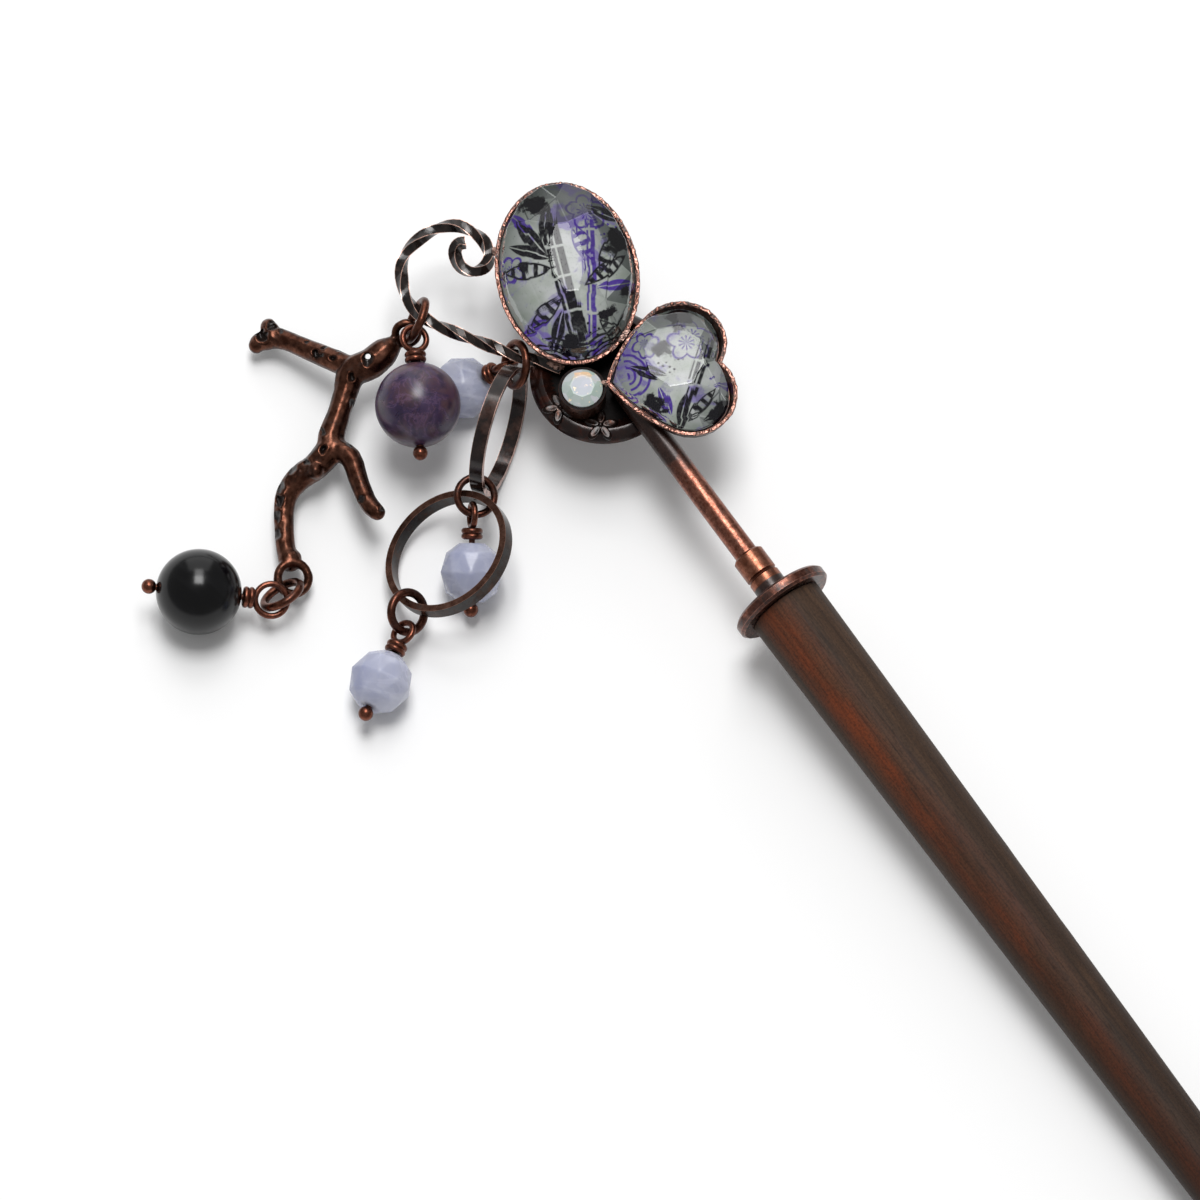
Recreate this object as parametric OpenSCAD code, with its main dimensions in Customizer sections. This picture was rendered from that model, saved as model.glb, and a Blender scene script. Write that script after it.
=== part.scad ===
// Kanzashi: a tapered wooden hair stick with a soldered copper head and lying drops.
// It lies on a flat surface at z = 0, with the tip towards +X and the head towards -X.

/* [Stick] */
// Length of the wooden stick, from flange to tip
stick_len = 125; // [120:1:130]
// Diameter of the stick at the flange
stick_top_d = 7.2; // [6.8:0.1:7.6]
// Diameter of the stick where its tip starts to round off
stick_tip_d = 3.5; // [3.2:0.1:3.8]
// Slope of the stick down to its tip as it lies, in degrees
lie_angle = 2.8; // [2.7:0.1:2.9]

/* [Fittings] */
// Diameter of the flange disc
flange_d = 9.7; // [9:0.1:10.5]
// Thickness of the flange disc
flange_t = 1.2; // [1:0.1:1.4]
// Diameter of the rod
rod_d = 2.25; // [2.2:0.05:2.3]
// Diameter of the collar on the rod
collar_d = 3.1; // [3:0.1:3.4]
// Length of the collar
collar_len = 4.2; // [3.6:0.1:4.6]

/* [Head] */
// Diameter of the round base plate
plate_d = 13.8; // [13.4:0.1:14]
// Length of the oval bezel
oval_len = 18.8; // [18.4:0.1:18.8]
// Width of the oval bezel
oval_wide = 13.4; // [13.2:0.1:13.4]
// Height of the oval bezel
oval_high = 1.4; // [1.3:0.05:1.5]
// Height of the heart bezel
heart_high = 1.4; // [1.3:0.05:1.5]
// Thickness of the bezel walls at the rim
bezel_wall = 0.35; // [0.3:0.05:0.4]
// Diameter of the small round cup
cup_d = 4.4; // [4.3:0.1:4.4]

/* [Scroll] */
// Width of the square scroll wire across its flats
scroll_flat = 0.9; // [0.85:0.01:0.92]
// Twist of the scroll wire, in degrees for each millimetre
scroll_twist = 25; // [20:1:28]

/* [Drops] */
// Diameter of the two large round beads
large_bead_d = 8; // [7.8:0.05:8]
// Diameter of the three faceted beads
small_bead_d = 6; // [5.8:0.05:6]
// Thickness of the pin wire
pin_wire = 0.58; // [0.5:0.02:0.58]
// Outer diameter of the upper flat hoop
upper_hoop_d = 12.4; // [12.2:0.1:12.4]
// Outer diameter of the lower flat hoop
lower_hoop_d = 12.7; // [12.5:0.1:12.7]
// Thickness of the upper hoop's band
upper_hoop_wall = 0.5; // [0.4:0.05:0.5]
// Thickness of the lower hoop's band
lower_hoop_wall = 0.65; // [0.55:0.05:0.65]
// Height of the hoop bands
hoop_high = 1.3; // [1.1:0.1:1.3]

/* [Hidden] */
$fn = 48;

// Clearance between pieces that aren't soldered
gap = 0.1;

// Start of the wood and of its rounded tip, along the stick from the flange's middle
wood_start = flange_t / 2 + gap;
tip_start = wood_start + stick_len - stick_tip_d / 2;
// Height of the stick's axis at the flange, with the tip resting on the surface
axis_z = tip_start * sin(lie_angle) + stick_tip_d / 2;

// Middle of the lying piece's box, from the point under the flange's middle
box_mid = [36.1, -18.2];
// Turn from the view from above, with +Y away from the viewer, to this part's frame
plan_turn = 55;

// Taper of the stick: above 1 it is fuller near the flange
stick_bow = 1.1;
// Depth of the rod in the wood, and its reach from the flange to the head
tang_len = 12;
rod_reach = 26.3;
// Bare rod between the flange and the collar
collar_gap = 0.8;

// Middle of the base plate in plan, and the height of its sunk floor
plate_at = [-16.5, 23.0];
plate_z = 7.9;
plate_t = 0.8;

// Middle of the oval bezel in plan, its base height, and its long side's heading
oval_at = [-19.9, 32.0];
oval_z = 9.5;
oval_heading = 99.2;

// Tip of the heart bezel in plan, its base height, and the heading of its middle line
heart_at = [-16.3, 20.7];
heart_z = 9.8;
heart_heading = 11;
// Lobe radius, lobe centre along and beside the middle line, and half the tip's angle
lobe_r = 4.3;
lobe_along = 7.6;
lobe_beside = 2.6;
tip_half_angle = 65;

// Inward lean of the bezel walls from rim to base, floor and print thickness
bezel_lean = 0.4;
bezel_floor = 0.4;
print_t = 0.15;

// Middle and diameter of the post that carries the oval bezel on the plate
post_at = [-18.7, 25.6];
post_d = 4;

// Middle of the round cup in plan, and its height above the plate
cup_at = [-18.5, 20.4];
cup_high = 2.6;
opal_d = 3.9;

// More room round each stone; the heart stone sits a little loose in its bezel
oval_slack = 0.02;
heart_slack = 0.25;

// Height of the scroll wire's middle line
scroll_z = 8.8;

// Cast flowers round the plate's rim: distance from its middle, heading and angle between two
flower_out = 5.6;
flower_turn = -93;
flower_step = 45;

// Outline points of a bezel: the oval's count is even, the heart's halves are alike
oval_points = 48;
side_steps = 6;
lobe_steps = 12;

// Frames

// Local +Z runs along the stick's axis, from the flange's middle to the tip.
module along_stick() {
    translate([-box_mid[0], -box_mid[1], axis_z])
        rotate([0, 90 + lie_angle, 0])
            children();
}

// Plan coordinates: the point under the flange is the origin, +Y runs away from the viewer.
module in_plan() {
    translate([-box_mid[0], -box_mid[1], 0])
        rotate([0, 0, plan_turn])
            children();
}

// A pose is [x, y, z, tilt, heading]: local +Z leans by tilt towards heading.
module posed(pose) {
    in_plan()
        translate([pose[0], pose[1], pose[2]])
            rotate([0, pose[3], pose[4]])
                children();
}

// Curves and lofted solids

// Point at share t of the span that starts at row i of a smooth curve through the rows
function on_curve(rows, i, t) =
    let (last = len(rows) - 1)
    let (a = rows[max(i - 1, 0)], b = rows[i], c = rows[i + 1], d = rows[min(i + 2, last)])
    b + 0.5 * t * ((c - a) + t * ((2 * a - 5 * b + 4 * c - d) + t * (3 * (b - c) + d - a)));

// Smooth curve through the rows, with a number of steps for each span
function smooth(rows, steps) = [
    for (i = [0 : len(rows) - 2], k = [0 : steps - 1]) on_curve(rows, i, k / steps),
    rows[len(rows) - 1]
];

function place(row) = [row[0], row[1], row[2]];
function unit(v) = v / norm(v);

// Direction of a path at its point i
function heading_at(path, i) =
    unit(place(path[min(i + 1, len(path) - 1)]) - place(path[max(i - 1, 0)]));

// Length along a path up to each of its points
function run(path) = [
    for (i = 0, s = 0; i < len(path);
        s = s + (i + 1 < len(path) ? norm(place(path[i + 1]) - place(path[i])) : 0), i = i + 1) s
];

// Ring of points of a given radius round a path's point, turned by an angle
function ring_at(path, i, radius, sides, turn) =
    let (ahead = heading_at(path, i))
    let (beside = unit(cross([0, 0, 1], ahead)))
    let (above = cross(ahead, beside))
    [for (k = [0 : sides - 1])
        let (a = turn + 360 * k / sides)
        place(path[i]) + radius * (cos(a) * beside + sin(a) * above)];

// Closed solid through rings that all have the same number of points
module loft(rings) {
    n = len(rings[0]);
    last = len(rings) - 1;
    sides = [
        for (k = [0 : last - 1], i = [0 : n - 1])
            let (a = k * n + i, b = k * n + (i + 1) % n)
            each [[a, b + n, b], [a, a + n, b + n]]
    ];
    foot = [for (i = [0 : n - 1]) i];
    top = [for (i = [n - 1 : -1 : 0]) last * n + i];
    polyhedron([for (ring = rings) each ring], concat(sides, [foot, top]));
}

// Round tube with a rounded far end, along a path whose rows are [x, y, z, radius]
module limb(rows, steps) {
    path = smooth(rows, steps);
    far = path[len(path) - 1];
    ahead = heading_at(path, len(path) - 1);
    tip = [
        for (a = [35, 70])
            let (p = place(far) + far[3] * sin(a) * ahead)
            [p[0], p[1], p[2], far[3] * cos(a)]
    ];
    whole = concat(path, tip);
    loft([for (i = [0 : len(whole) - 1]) ring_at(whole, i, whole[i][3], 10, 18)]);
}

function at_height(outline, z) = [for (p = outline) [p[0], p[1], z]];

// Stick and its fittings

// Tapered wooden stick with a rounded tip and a blind hole for the rod
module stick() {
    tip_r = stick_tip_d / 2;
    straight = stick_len - tip_r;
    steps = 12;
    side = [
        for (i = [0 : steps])
            let (share = i / steps)
            [stick_top_d / 2 - (stick_top_d / 2 - tip_r) * pow(share, stick_bow), share * straight]
    ];
    tip = [for (a = [15 : 15 : 75]) [tip_r * cos(a), straight + tip_r * sin(a)]];
    color("#4a2a1c") along_stick() difference() {
        translate([0, 0, wood_start])
            rotate_extrude()
                polygon(concat([[0, 0]], side, tip, [[0, stick_len]]));
        cylinder(d = rod_d + 2 * gap, h = wood_start + tang_len + gap);
    }
}

// Round metal flange with softened edges, which the rod passes through
module flange() {
    soft = 0.25;
    r = flange_d / 2;
    color("#8a5a48") along_stick() difference() {
        translate([0, 0, -flange_t / 2])
            rotate_extrude()
                polygon([
                    [0, 0], [r - soft, 0], [r, soft],
                    [r, flange_t - soft], [r - soft, flange_t], [0, flange_t]
                ]);
        translate([0, 0, -flange_t])
            cylinder(d = rod_d + 2 * gap, h = 2 * flange_t);
    }
}

// Tube on the rod, with a turned groove
module collar() {
    groove = 0.2;
    groove_at = 0.4 * collar_len;
    r = collar_d / 2;
    color("#8a5a48") along_stick() difference() {
        translate([0, 0, -flange_t / 2 - collar_gap - collar_len])
            rotate_extrude()
                polygon([
                    [0, 0], [r - groove, 0], [r, groove],
                    [r, collar_len - groove_at - groove], [r - groove, collar_len - groove_at],
                    [r, collar_len - groove_at + groove], [r, collar_len], [0, collar_len]
                ]);
        translate([0, 0, -2 * collar_len])
            cylinder(d = rod_d + 2 * gap, h = 2 * collar_len);
    }
}

// Rod from the blind hole in the wood to the head
module rod() {
    along_stick()
        translate([0, 0, -rod_reach])
            cylinder(d = rod_d, h = rod_reach + tang_len);
}

// Head

// Round plate with a sunk floor and a swelling rim
module base_plate() {
    r = plate_d / 2;
    in_plan() translate([plate_at[0], plate_at[1], plate_z])
        rotate_extrude()
            polygon([
                [0, -plate_t], [r - 2.2, -plate_t], [r - 1.8, -0.65], [r - 1.2, -0.2],
                [r - 0.5, -0.3], [r - 0.1, -0.6], [r, -0.4], [r - 0.25, 0.1],
                [r - 0.7, 0.45], [r - 1.15, 0.52], [r - 1.5, 0.38], [r - 1.8, 0.12],
                [r - 2.2, 0], [0, 0]
            ]);
}

// Flower of five petals that droop a little from its middle
module flower() {
    foot = -0.1;
    crest = 0.66;
    droop = 8;
    for (k = [0 : 4])
        rotate([0, 0, 72 * k + 36]) rotate([0, droop, 0])
            translate([0.66, 0, foot])
                linear_extrude(crest - foot, scale = 0.75)
                    polygon(few(10, 0.62, 0.3, 0));
    translate([0, 0, foot])
        cylinder(d1 = 0.6, d2 = 0.4, h = crest + 0.1 - foot, $fn = 10);
}

// Flowers round the rim, apart from the places of the rod and of the scroll's foot
module rim_flowers() {
    for (k = [-1, 0, 2, 3, 4, 5])
        let (a = flower_turn + flower_step * k)
        in_plan()
            translate([plate_at[0] + flower_out * cos(a), plate_at[1] + flower_out * sin(a), plate_z])
                rotate([0, 0, a]) flower();
}

// Oval outline, drawn in from the bezel's outer rim by a distance
function oval_outline(inset) = [
    for (i = [0 : oval_points - 1])
        let (a = 360 * i / oval_points)
        [(oval_len / 2 - inset) * cos(a), (oval_wide / 2 - inset) * sin(a)]
];

// Heart outline with its tip at the origin: each half is a flat side arc and a lobe arc
side_r = (pow(lobe_along, 2) + pow(lobe_beside, 2) - pow(lobe_r, 2))
    / (2 * (lobe_along * sin(tip_half_angle) - lobe_beside * cos(tip_half_angle) - lobe_r));
side_mid = [side_r * sin(tip_half_angle), side_r * cos(tip_half_angle)];

function arc(mid, r, from, to, steps) = [
    for (i = [0 : steps - 1])
        let (a = from + (to - from) * i / steps)
        [mid[0] + r * cos(a), mid[1] + r * sin(a)]
];

// Lower half of the heart from its tip up to, but without, the notch
function half_heart(inset) =
    let (big = side_r - inset, small = lobe_r - inset)
    let (tip_a = 180 + asin(side_mid[1] / big))
    let (join_a = 180 + atan2(side_mid[1] + lobe_beside, side_mid[0] - lobe_along))
    let (notch_a = 360 + asin(lobe_beside / small))
    concat(
        arc(side_mid, big, tip_a, join_a, side_steps),
        arc([lobe_along, -lobe_beside], small, join_a, notch_a, lobe_steps)
    );

function heart_outline(inset) =
    let (half = half_heart(inset), n = len(half))
    let (notch = [lobe_along + sqrt(pow(lobe_r - inset, 2) - pow(lobe_beside, 2)), 0])
    concat(half, [notch], [for (i = [n - 1 : -1 : 1]) [half[i][0], -half[i][1]]]);

function outline(shape, inset) = shape == "oval" ? oval_outline(inset) : heart_outline(inset);

module at_bezel(shape) {
    mid = shape == "oval" ? oval_at : heart_at;
    base = shape == "oval" ? oval_z : heart_z;
    heading = shape == "oval" ? oval_heading : heart_heading;
    in_plan() translate([mid[0], mid[1], base]) rotate([0, 0, heading]) children();
}

// Cup of thin metal, leaning out from its base to its rim
module bezel(shape, height) {
    at_bezel(shape) loft([
        at_height(outline(shape, bezel_lean), 0),
        at_height(outline(shape, 0), height),
        at_height(outline(shape, bezel_wall), height),
        at_height(outline(shape, bezel_lean + bezel_wall), bezel_floor)
    ]);
}

// Printed disc under a stone
module print(shape) {
    at_bezel(shape)
        translate([0, 0, bezel_floor + gap])
            linear_extrude(print_t)
                polygon(outline(shape, bezel_lean + bezel_wall + gap));
}

module layer(z, points) {
    translate([0, 0, z]) linear_extrude(0.01) polygon(points);
}

// Small round cup on the plate
module opal_cup() {
    wall = 0.2;
    floor_z = 0.8;
    in_plan() translate([cup_at[0], cup_at[1], plate_z - 0.1]) difference() {
        cylinder(d = cup_d, h = cup_high + 0.1);
        translate([0, 0, floor_z]) cylinder(d = cup_d - 2 * wall, h = cup_high);
    }
}

// Middle line of the scroll in plan, from the curl's inner end to the plate
scroll_rows = [
    [-29.4, 36.1], [-30.1, 35.9], [-30.4, 35.0], [-29.9, 33.7], [-28.8, 33.1],
    [-27.6, 33.6], [-27.2, 34.9], [-28.0, 36.6], [-30.0, 37.8], [-32.1, 37.5],
    [-33.8, 36.4], [-35.0, 34.9], [-35.4, 33.1], [-35.0, 30.8], [-34.1, 29.2],
    [-32.8, 28.1], [-31.3, 27.3], [-28.0, 25.9], [-24.5, 24.5], [-21.6, 23.7], [-20.4, 23.3]
];

// Twisted square wire
module scroll() {
    path = smooth([for (p = scroll_rows) [p[0], p[1], scroll_z]], 4);
    along = run(path);
    corner = scroll_flat / sqrt(2);
    in_plan() loft([
        for (i = [0 : len(path) - 1])
            ring_at(path, i, corner, 4, 45 + scroll_twist * along[i])
    ]);
}

// Short post between the plate and the oval bezel
module seat_post() {
    foot_z = plate_z - plate_t / 2;
    in_plan() translate([post_at[0], post_at[1], foot_z])
        cylinder(d = post_d, h = oval_z + bezel_floor / 2 - foot_z);
}

// All the soldered metal of the head is one solid
module head_setting() {
    color("#6b4034") union() {
        rod();
        base_plate();
        rim_flowers();
        seat_post();
        bezel("oval", oval_high);
        bezel("heart", heart_high);
        opal_cup();
        scroll();
    }
}

module oval_print() { color("#b9b6c4") print("oval"); }
module heart_print() { color("#b9b6c4") print("heart"); }

// Height of a stone's flat back above its bezel's base
stone_back = bezel_floor + print_t + 2 * gap;

// Ellipse with a few corners, the first of them turned off the long side
function few(n, half_long, half_wide, turn) = [
    for (i = [0 : n - 1])
        let (a = turn + 360 * i / n)
        [half_long * cos(a), half_wide * sin(a)]
];

// High faceted oval glass: steep lower facets, sloping upper facets and a long table
module oval_stone() {
    inset = bezel_wall + gap + oval_slack;
    a = oval_len / 2 - inset;
    b = oval_wide / 2 - inset;
    color("#c8ccd6") at_bezel("oval") hull() {
        layer(stone_back, oval_outline(inset + bezel_lean));
        layer(oval_high, oval_outline(inset));
        layer(oval_high + 1.75, few(16, 0.96 * a, 0.95 * b, 11.25));
        layer(oval_high + 3.0, few(8, 0.72 * a, 0.66 * b, 0));
        layer(oval_high + 3.8, few(8, 0.42 * a, 0.26 * b, 22.5));
    }
}

// High faceted heart glass, a little loose in its bezel, with its notch cut straight down
module heart_stone() {
    inset = bezel_wall + gap + heart_slack;
    crown_mid = [6.2, 0];
    table_mid = [6.7, 0.5];
    color("#c8ccd6") at_bezel("heart") translate([-0.15, -0.1, 0]) intersection() {
        hull() {
            layer(stone_back, heart_outline(inset + bezel_lean));
            layer(heart_high, heart_outline(inset));
            layer(heart_high + 1.2, [for (p = few(10, 5.0, 5.6, 0)) p + crown_mid]);
            layer(heart_high + 2.5, [for (p = few(8, 2.9, 3.2, 22.5)) p + table_mid]);
        }
        linear_extrude(heart_high + 4) polygon(heart_outline(inset));
    }
}

// Small round stone with a table, eight crown facets and a cut-off point
module opal_stone() {
    girdle_z = cup_high + 0.1;
    color("#e6e6ea") in_plan() translate([cup_at[0], cup_at[1], plate_z]) hull() {
        translate([0, 0, girdle_z - 1.3]) cylinder(r = 0.7, h = 0.01, $fn = 8);
        translate([0, 0, girdle_z - 0.25]) cylinder(d = opal_d - 0.1, h = 0.3, $fn = 32);
        translate([0, 0, girdle_z + 0.6]) cylinder(r = 1.15, h = 0.01, $fn = 8);
    }
}

// Rings and hoops

// Closed round ring of wire in the local XY plane
module wire_ring(mid_r, wire_d) {
    rotate_extrude() translate([mid_r, 0]) circle(d = wire_d, $fn = 24);
}

// Flat hoop in the local XY plane
module hoop(outer_d, wall) {
    rotate_extrude()
        translate([outer_d / 2 - wall, -hoop_high / 2])
            square([wall, hoop_high]);
}

// Poses [x, y, z, tilt, heading] of the rings and hoops
ring_left_pose = [-34.0, 28.4, 8.2, 111, -16];
ring_right_pose = [-24.7, 23.9, 8.2, 62, -169];
hoop_ring_pose = [-28.4, 11.8, 5.3, 19, -61];
lower_ring_pose = [-34.7, 0.8, 3.5, 41, -30];
charm_ring_pose = [-46.4, 3.1, 2.3, 48, 130];
hoop_upper_pose = [-26.3, 18.0, 6.4, 84, -19];
hoop_lower_pose = [-30.9, 6.2, 4.7, 29, 165];

module ring_left() { color("#7a4636") posed(ring_left_pose) wire_ring(1.95, 0.8); }
module ring_right() { color("#7a4636") posed(ring_right_pose) wire_ring(2.0, 0.78); }
module hoop_ring() { color("#5e3a2e") posed(hoop_ring_pose) wire_ring(1.75, 0.68); }
module lower_ring() { color("#5e3a2e") posed(lower_ring_pose) wire_ring(1.85, 0.8); }
module charm_ring() { color("#7a4636") posed(charm_ring_pose) wire_ring(1.9, 0.8); }
module hoop_upper() { color("#3b2a26") posed(hoop_upper_pose) hoop(upper_hoop_d, upper_hoop_wall); }
module hoop_lower() { color("#3b2a26") posed(hoop_lower_pose) hoop(lower_hoop_d, lower_hoop_wall); }

// Beads on their pins

// A pin's local +Z runs from the bead's middle to the loop.
// It is one wire: a ball, a straight run through the bead, two wraps and a loop.
module pin(bead_d, end, loop_r, loop_turn) {
    r = bead_d / 2;
    ball_d = 1.4;
    ball_at = end + 0.7;
    wrap_r = 0.72;
    neck = r + 1.3;
    translate([0, 0, -ball_at]) sphere(d = ball_d);
    translate([0, 0, -ball_at]) cylinder(d = pin_wire, h = ball_at + neck);
    for (z = [r + 0.4, r + 0.9])
        translate([0, 0, z]) wire_ring(wrap_r, pin_wire);
    translate([0, 0, r + 0.4]) cylinder(r = wrap_r, h = 0.5);
    translate([0, 0, neck + loop_r])
        rotate([0, 0, loop_turn]) rotate([0, 90, 0]) wire_ring(loop_r, pin_wire);
}

// Distance from a bead's middle to the rim of its drilled hole, where the ball sits
large_end = sqrt(pow(large_bead_d / 2, 2) - pow(pin_wire / 2 + gap, 2));
cut_rows = [-66, -38, 0, 38, 66];
small_end = small_bead_d / 2 * sin(cut_rows[len(cut_rows) - 1]);

module drilled(d) {
    difference() {
        children();
        cylinder(d = pin_wire + 2 * gap, h = 2 * d, center = true);
    }
}

module round_bead() {
    drilled(large_bead_d) sphere(d = large_bead_d);
}

// Round bead cut with rows of flat facets, each row turned by half a facet
module cut_bead() {
    sides = 10;
    r = small_bead_d / 2;
    drilled(small_bead_d) hull()
        for (i = [0 : len(cut_rows) - 1])
            let (a = cut_rows[i], row_r = r * cos(a))
            layer(r * sin(a), few(sides, row_r, row_r, i % 2 * 180 / sides));
}

// Poses of the beads: local +Z points from the bead's middle to its pin's loop
purple_pose = [-33.8, 20.0, 7.7, 83, 93];
black_pose = [-54.1, 2.6, 4.1, 99, -3];
blue_a_pose = [-29.7, 23.8, 3.0, 49, 9];
blue_b_pose = [-28.8, 5.0, 3.0, 68, 89];
blue_c_pose = [-37.2, -6.0, 3.0, 89, 67];

module purple_bead() { color("#4a2f50") posed(purple_pose) round_bead(); }
module purple_pin() { color("#8a5444") posed(purple_pose) pin(large_bead_d, large_end, 1.15, 17); }
module black_bead() { color("#141418") posed(black_pose) round_bead(); }
module black_pin() { color("#8a5444") posed(black_pose) pin(large_bead_d, large_end, 1.5, 20); }
module blue_bead_a() { color("#b4bedc") posed(blue_a_pose) cut_bead(); }
module blue_pin_a() { color("#8a5444") posed(blue_a_pose) pin(small_bead_d, small_end, 1.05, -73); }
module blue_bead_b() { color("#b4bedc") posed(blue_b_pose) cut_bead(); }
module blue_pin_b() { color("#8a5444") posed(blue_b_pose) pin(small_bead_d, small_end, 1.05, -76); }
module blue_bead_c() { color("#b4bedc") posed(blue_c_pose) cut_bead(); }
module blue_pin_c() { color("#8a5444") posed(blue_c_pose) pin(small_bead_d, small_end, 1.05, -34); }

// Cast coral branch

// Limbs in plan, as rows of [x, y, z, radius]
trunk_rows = [
    [-35.8, 27.1, 6.2, 0.7], [-36.8, 26.4, 5.8, 1.35], [-38.2, 25.3, 5.3, 1.5],
    [-40.0, 24.6, 4.7, 1.45], [-40.6, 22.7, 4.4, 1.2], [-41.2, 20.7, 4.1, 1.15],
    [-41.9, 18.6, 3.7, 1.3], [-42.0, 17.3, 3.6, 1.4], [-43.4, 15.7, 3.1, 1.3],
    [-44.8, 14.9, 2.6, 1.25], [-46.0, 13.4, 2.1, 1.1], [-46.3, 11.5, 1.9, 1.0],
    [-46.2, 8.9, 1.8, 0.95], [-46.0, 7.6, 1.8, 1.0], [-45.7, 6.8, 1.9, 1.2]
];
left_rows = [
    [-39.6, 24.9, 4.7, 1.1], [-42.0, 26.3, 4.1, 1.1], [-44.0, 27.5, 3.4, 1.0],
    [-46.0, 28.7, 2.8, 0.95], [-47.4, 29.3, 2.4, 1.1]
];
fork_rows = [
    [[-47.2, 29.2, 2.4, 1.0], [-47.8, 30.2, 2.2, 0.9], [-47.9, 30.6, 2.0, 0.8]],
    [[-47.2, 29.2, 2.4, 1.0], [-48.6, 29.0, 2.0, 0.95], [-49.0, 28.7, 1.9, 0.85]]
];
right_rows = [
    [-41.8, 17.4, 3.7, 1.15], [-40.1, 16.2, 4.1, 1.05], [-39.2, 13.4, 4.4, 0.95],
    [-38.4, 11.4, 4.6, 0.92], [-37.6, 10.4, 4.8, 0.85]
];
upper_eye_pose = [-34.9, 27.8, 6.6, 45, -90];
lower_eye_pose = [-45.4, 4.9, 2.0, 21, -65];

// Hole right through the branch near its upper fork, drilled from the viewer's side
hole_pose = [-38.5, 26.0, 5.3, 23, -90];
hole_d = 0.6;

// Twig-shaped casting with an eye at each end
module coral_branch() {
    color("#7d4a38") difference() {
        union() {
            in_plan() {
                limb(trunk_rows, 3);
                limb(left_rows, 3);
                for (rows = fork_rows) limb(rows, 3);
                limb(right_rows, 3);
            }
            posed(upper_eye_pose) wire_ring(1.05, 0.8);
            posed(lower_eye_pose) wire_ring(1.45, 0.9);
        }
        posed(hole_pose) cylinder(d = hole_d, h = 8, center = true);
    }
}

stick();
flange();
collar();
head_setting();
oval_print();
oval_stone();
heart_print();
heart_stone();
opal_stone();
ring_left();
coral_branch();
purple_bead();
purple_pin();
charm_ring();
black_bead();
black_pin();
ring_right();
blue_bead_a();
blue_pin_a();
hoop_upper();
hoop_ring();
blue_bead_b();
blue_pin_b();
hoop_lower();
lower_ring();
blue_bead_c();
blue_pin_c();
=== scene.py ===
# Kanzashi: a wooden hair stick with a soldered copper head and lying drops, dressed for rendering.
import bpy
import math
from mathutils import Matrix, Vector, noise


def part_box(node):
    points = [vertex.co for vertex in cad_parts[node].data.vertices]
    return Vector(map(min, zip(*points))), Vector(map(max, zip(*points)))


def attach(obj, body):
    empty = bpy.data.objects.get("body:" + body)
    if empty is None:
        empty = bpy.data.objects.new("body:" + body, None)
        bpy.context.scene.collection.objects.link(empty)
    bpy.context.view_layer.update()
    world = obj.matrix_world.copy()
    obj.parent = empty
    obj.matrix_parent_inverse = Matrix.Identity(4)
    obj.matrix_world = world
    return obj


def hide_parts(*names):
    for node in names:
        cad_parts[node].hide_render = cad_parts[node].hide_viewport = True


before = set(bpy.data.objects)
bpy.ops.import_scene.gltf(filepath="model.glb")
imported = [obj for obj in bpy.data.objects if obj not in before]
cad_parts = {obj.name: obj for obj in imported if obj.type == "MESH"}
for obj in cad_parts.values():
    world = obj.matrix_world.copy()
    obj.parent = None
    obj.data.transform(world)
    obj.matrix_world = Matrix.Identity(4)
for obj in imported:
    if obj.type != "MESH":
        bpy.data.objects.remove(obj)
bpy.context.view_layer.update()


# The tapered stick
# Turned hardwood, stained dark brown with a redder band along its upper side, oiled and rubbed
# to a satin finish. Its thick end is drilled for the metal rod and stands against the flange.

MM = 0.001


def tone(red, green, blue):
    """A colour as a camera sees it, 0 to 255, as the renderer counts light."""
    share = [v / 255 for v in (red, green, blue)]
    light = [v / 12.92 if v <= 0.04045 else ((v + 0.055) / 1.055) ** 2.4 for v in share]
    return (*light, 1.0)


def pick(piece):
    """Selects this piece alone."""
    bpy.ops.object.select_all(action="DESELECT")
    piece.select_set(True)
    bpy.context.view_layer.objects.active = piece


def switch_to(mode):
    bpy.ops.object.mode_set(mode=mode)


def joined_skin(node_name, piece_name, crease=32):
    """A copy of a solid, its loose triangles merged, and smooth up to its creases."""
    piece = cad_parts[node_name].copy()
    piece.data = piece.data.copy()
    for key in [k for k in piece.keys() if k.startswith("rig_")]:
        del piece[key]
    piece.parent = None
    piece.name = piece_name
    bpy.context.scene.collection.objects.link(piece)
    pick(piece)
    bpy.ops.mesh.customdata_custom_splitnormals_clear()
    switch_to("EDIT")
    bpy.ops.mesh.select_all(action="SELECT")
    bpy.ops.mesh.remove_doubles(threshold=0.0005 * MM)
    switch_to("OBJECT")
    bpy.ops.object.shade_smooth_by_angle(angle=math.radians(crease))
    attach(piece, "root")
    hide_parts(node_name)
    return piece


def give(value, socket):
    """Links an output to a socket, or sets the socket to a plain value."""
    if isinstance(value, bpy.types.NodeSocket):
        socket.id_data.links.new(value, socket)
    else:
        socket.default_value = value


def fill(node, *by_place, **by_name):
    """Gives a node's sockets their values or links, by place or by name."""
    for number, value in enumerate(by_place):
        give(value, node.inputs[number])
    for name, value in by_name.items():
        give(value, node.inputs[name.replace("_", " ")])


def add(tree, kind, *inputs, settings=None, **named):
    """One shader node, with its settings made and its sockets filled."""
    made = tree.nodes.new("ShaderNode" + kind)
    for key, value in (settings or {}).items():
        setattr(made, key, value)
    fill(made, *inputs, **named)
    return made


def calc(tree, operation, *inputs):
    return add(tree, "Math", *inputs, settings={"operation": operation}).outputs[0]


def plus(tree, first, second):
    return calc(tree, "ADD", first, second)


def minus(tree, first, second):
    return calc(tree, "SUBTRACT", first, second)


def times(tree, first, second):
    return calc(tree, "MULTIPLY", first, second)


def distance(tree, across, along):
    return calc(tree, "SQRT", plus(tree, times(tree, across, across), times(tree, along, along)))


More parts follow.
